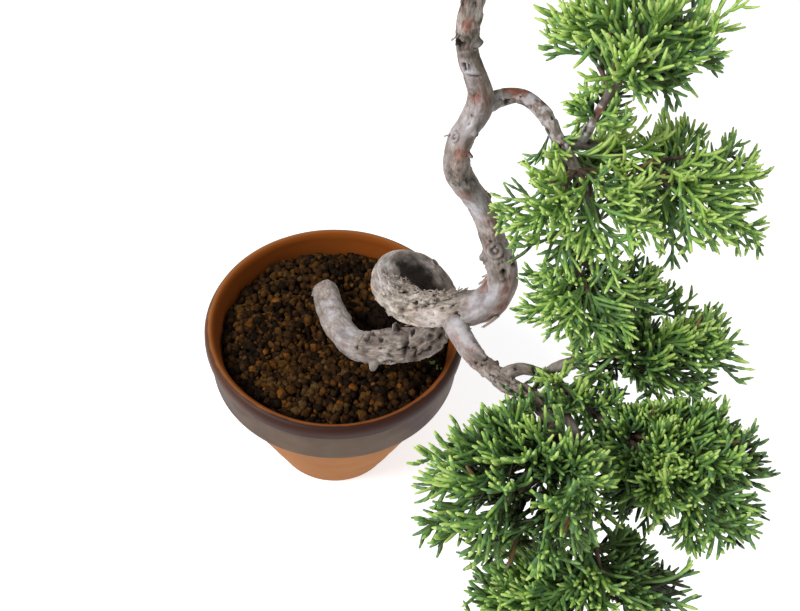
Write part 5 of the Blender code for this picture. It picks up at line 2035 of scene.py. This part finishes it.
    def tints(self, light: np.ndarray, rings: int) -> np.ndarray:
        """The tint of each stretch of some cords, as numbers of Tint: brighter towards the tip and the
        painted light.

        Args:
            light: (n,) how bright each cord is painted.
            rings: How many rings of points each cord has.

        Returns:
            (n, rings - 1) tint numbers.
        """
        order = {tint: number for number, tint in enumerate(Tint)}
        share = (np.arange(rings - 1) + 0.5) / (rings - 1)
        random = self.tinting
        least, by_light = self.youth
        young = (least + by_light * np.clip(light, 0, 1))[:, None] * smooth_step(0.6, 1.0, share)
        value = light[:, None] + young - 0.06
        value = value + random.normal(0, self.unevenness, value.shape)
        made = np.digitize(value, self.tint_steps)
        blue = (random.uniform(0, 1, (len(light), 1)) < self.blue) & (made == order[Tint.MID])
        made = np.where(blue, order[Tint.BLUE], made)
        dry = random.uniform(0, 1, (len(light), 1)) < self.dry
        return np.where(dry, order[Tint.DRY], made)

    def mesh(self, cords: Cords, light: np.ndarray,
             finishes: Sequence[bpy.types.Material]) -> bpy.types.Object:
        """One mesh of all cords: rings of four points one scale apart, each turned half a side from the last.

        The rings are joined by triangles, so that their diamonds stand for the pairs of scale leaves.
        The cord is thinner at its root, and its blunt tip closes in a short cone.

        Args:
            cords: The cords.
            light: (n,) how bright each cord is painted.
            finishes: The materials, in the order of Tint.

        Returns:
            The piece, not yet dressed.
        """
        thickness = self.growth.mass.cord * MM * self.tinting.uniform(*self.thickness, len(cords))
        thickness = thickness * (1 - 0.05 * cords.order)
        rings = np.clip(np.round(cords.length / self.scale_pitch).astype(int) + 1, 4, 16)
        vertices, faces, slots, start = [], [], [], 0
        for count in np.unique(rings):
            lot = np.flatnonzero(rings == count)
            places, triangles = self._lot(cords.pick(lot), thickness[lot], int(count))
            vertices.append(places.reshape(-1, 3))
            faces.append(repeated(triangles + start, len(lot), places.shape[1]))
            stretch = np.concatenate([np.repeat(np.arange(count - 1), 8), np.full(4, count - 2), (0, 0)])
            slots.append(self.tints(light[lot], int(count))[:, stretch].ravel())
            start += places.shape[0] * places.shape[1]
        return build_mesh("shoots_" + self.growth.name, np.vstack(vertices), [np.vstack(faces)], finishes,
                          np.concatenate(slots))

    @staticmethod
    def _lot(cords: Cords, thickness: np.ndarray, count: int) -> tuple[np.ndarray, np.ndarray]:
        """The vertices of cords with one count of rings, and the triangles of one of them.

        Args:
            cords: The cords.
            thickness: (n,) how thick each is.
            count: How many rings each has.

        Returns:
            (n, k, 3) places and (m, 3) vertex numbers.
        """
        share = np.linspace(0, 1, count)
        middle = cords.at(share)
        heading = unit(cords.heading[:, None] + 2 * cords.bend[:, None] * share[:, None])
        side, across = frames(heading, sideways(cords.heading))
        angle = math.pi / 2 * np.arange(4)[None] + math.pi / 4 * (np.arange(count)[:, None] % 2)
        root_taper = 0.7 + 0.3 * smooth_step(0, 0.3, share)
        tip_taper = 1 - 0.25 * smooth_step(0.5, 1.0, share) - 0.25 * smooth_step(1 - 0.9 / count, 1.0, share)
        swell = 0.5 * thickness[:, None] * root_taper * tip_taper * (1 + 0.09 * (np.arange(count) % 2))
        out = side[:, :, None] * np.cos(angle)[..., None] + across[:, :, None] * np.sin(angle)[..., None]
        rings = middle[:, :, None] + out * swell[:, :, None, None]
        tip = middle[:, -1:] + heading[:, -1:] * 0.24 * thickness[:, None, None]
        places = np.concatenate([rings.reshape(len(cords), -1, 3), tip], axis=1)
        ring, corner = np.meshgrid(np.arange(count - 1), np.arange(4), indexing="ij")
        here, after = ring * 4 + corner, ring * 4 + (corner + 1) % 4
        upper, upper_after = here + 4, after + 4
        even = ring % 2 == 0
        first = np.stack([here, after, np.where(even, upper, upper_after)], axis=-1)
        second = np.stack([np.where(even, after, here), upper_after, upper], axis=-1)
        sides = np.stack([first, second], axis=2).reshape(-1, 3)
        cap = cap_faces((count - 1) * 4, count * 4, 4, True)
        return places, np.vstack([sides, cap, np.array([(0, 2, 1), (0, 3, 2)])])


@dataclass
class Foliage:
    """All masses of foliage: their stems and twigs, and the sprays that stand for each mass's solid."""

    wood: Wood
    stem_sides: int = 20
    stem_sunk: float = 3 * MM  # how far a stem's skin starts inside its bough

    def build(self) -> list[bpy.types.Object]:
        """The dressed pieces: one of cords for each mass, the stems, and one of all bare twigs.

        Returns:
            The dressed pieces.
        """
        finishes = [ScaleLeaf(tint).material() for tint in Tint]
        space = Space(self.wood.limbs)
        growths = [Growth(name, self.wood.limbs, space) for name in MASSES]
        pieces, bare = [], []
        for growth in growths:
            sprays = Sprays(growth)
            cords, twigs = sprays.grow()
            piece = sprays.mesh(cords, sprays.painted_light_and_patches(cords), finishes)
            pieces.append(dress(piece, "needles", "foliage_" + growth.name))
            bare += [twig_curve(twig)[:12] for twig in twigs]
        pieces.append(dress(self._stems(growths), "bark"))
        pieces.append(dress(self._rods(bare), "bark"))
        return pieces

    def _stems(self, growths: Sequence[Growth]) -> bpy.types.Object:
        """The stem of each mass, in the boughs' own bark, from inside its bough to the mass's middle.

        Args:
            growths: The masses' growths.

        Returns:
            The piece, not yet dressed.
        """
        limbs, barks = {}, {}
        for growth in growths:
            line = np.vstack([growth.root - growth.heading * self.stem_sunk, growth.stem])
            thickness = np.concatenate([[growth.thickness],
                                        np.linspace(growth.thickness, TWIG_THICKNESS, len(growth.stem))])
            limbs[growth.name] = Limb(np.column_stack([line, thickness]) / MM)
            # Painted shade on the stems among the leaves.
            barks[growth.name] = Bark(TWIGGY_CHARACTER, fluting=0.03, shade=0.45, seed=growth.mass.seed)
        finish = JuniperBark("juniper_stem_bark").material()
        return Wood(flare=0.0, sunk=0.01 * MM).skin("stem_bark", limbs, barks, self.stem_sides, finish)

    @staticmethod
    def _rods(lines: Sequence[np.ndarray]) -> bpy.types.Object:
        """All bare twigs as tapering tubes, each ring square to its line and roughened.

        Args:
            lines: The bare part of each twig's curve.

        Returns:
            The piece, not yet dressed.
        """
        sides, count = 6, 12
        share = np.linspace(0, 1, count)
        lines = np.stack([resampled(line, share) for line in lines])
        radius = ((BARE_TWIG[0] * (1 - share) + BARE_TWIG[1] * share) / 2)[:, None, None]
        side, across = frames(unit(np.gradient(lines, axis=1)), sideways(unit(lines[:, -1] - lines[:, 0])))
        angle = 2 * math.pi * np.arange(sides) / sides
        out = side[:, :, None] * np.cos(angle)[:, None] + across[:, :, None] * np.sin(angle)[:, None]
        points = lines[:, :, None] + out * radius
        points += out * (Noise(23).at(points, 1.5 * MM) * 0.2)[..., None] * radius
        ends = np.stack([lines[:, 0], lines[:, -1]], axis=1)
        places = np.concatenate([points.reshape(len(lines), -1, 3), ends], axis=1)
        quads, *caps = tube_faces(count, sides)
        faces = [repeated(part, len(lines), count * sides + 2) for part in (quads, np.vstack(caps))]
        return build_mesh("bare_twigs", places.reshape(-1, 3), faces, [TwigBark().material()])


# ------------------------------------------------------------------ studio
@dataclass
class Studio:
    """A plain pale floor, soft light and the camera."""

    floor_size: float = 8.0
    floor_glow: float = 0.6  # the floor is an opal light table, which keeps shadows faint
    camera_place: tuple = (0.0, -0.325, 0.521)
    camera_tilt: float = math.radians(39.8)
    lens: float = 40.5
    shift: float = 0.0819
    world_strength: float = 0.5
    key_power: float = 20.0

    def build(self) -> None:
        """Sets the floor, the world, the lamps and the camera."""
        scene = bpy.context.scene
        scene.view_settings.view_transform = "Standard"
        self._floor()
        self._world()
        self._lamp("key", (-1.0, -0.45, 1.15), 0.6, self.key_power)
        self._lamp("fill", (0.9, -0.9, 0.8), 1.0, self.key_power * 0.12)
        data = bpy.data.cameras.new("camera")
        data.sensor_width, data.lens, data.shift_x, data.clip_start = 36.0, self.lens, self.shift, 0.01
        camera = bpy.data.objects.new("camera", data)
        camera.location = self.camera_place
        camera.rotation_euler = (self.camera_tilt, 0, 0)
        scene.collection.objects.link(camera)
        scene.camera = camera

    def _floor(self) -> None:
        """The floor: the large white sheet of a light table, at Z = 0."""
        half = self.floor_size / 2
        corners = np.array([(-half, -half, 0), (half, -half, 0), (half, half, 0), (-half, half, 0)])
        finish = Shading("opal_acrylic_light_table", {
            "Base Color": linear("#dcdddf"), "Roughness": 1.0, "Specular IOR Level": 0.0,
            "Emission Color": (1, 1, 1, 1), "Emission Strength": self.floor_glow,
        })
        build_mesh("floor", corners, [np.array([(0, 1, 2, 3)])], [finish.material])

    def _world(self) -> None:
        """An even white world."""
        world = bpy.data.worlds.new("soft_light")
        bpy.context.scene.world = world
        world.use_nodes = True
        background = world.node_tree.nodes["Background"]
        background.inputs["Color"].default_value = (1, 1, 1, 1)
        background.inputs["Strength"].default_value = self.world_strength

    @staticmethod
    def _lamp(name: str, place: tuple, size: float, power: float) -> None:
        """A square soft box at a place, turned to the middle of the plant.

        Args:
            name: The lamp's name.
            place: Where it hangs, in metres.
            size: The box's side in metres.
            power: In watts.
        """
        data = bpy.data.lights.new(name, "AREA")
        data.size, data.energy = size, power
        lamp = bpy.data.objects.new(name, data)
        lamp.location = place
        away = np.array(place) - (0.03, -0.05, 0.2)
        lamp.rotation_euler = (math.atan2(math.hypot(away[0], away[1]), away[2]), 0,
                               math.atan2(away[1], away[0]) + math.pi / 2)
        bpy.context.scene.collection.objects.link(lamp)


def main() -> None:
    """Builds the pot, the soil, the wood, the foliage and the studio, in that order."""
    logging.basicConfig(level=logging.INFO, format="%(message)s")
    pot = Pot()
    pot.build()
    Soil(pot).build()
    wood = Wood()
    wood.build()
    Foliage(wood).build()
    Studio().build()


if __name__ == "__main__":
    main()
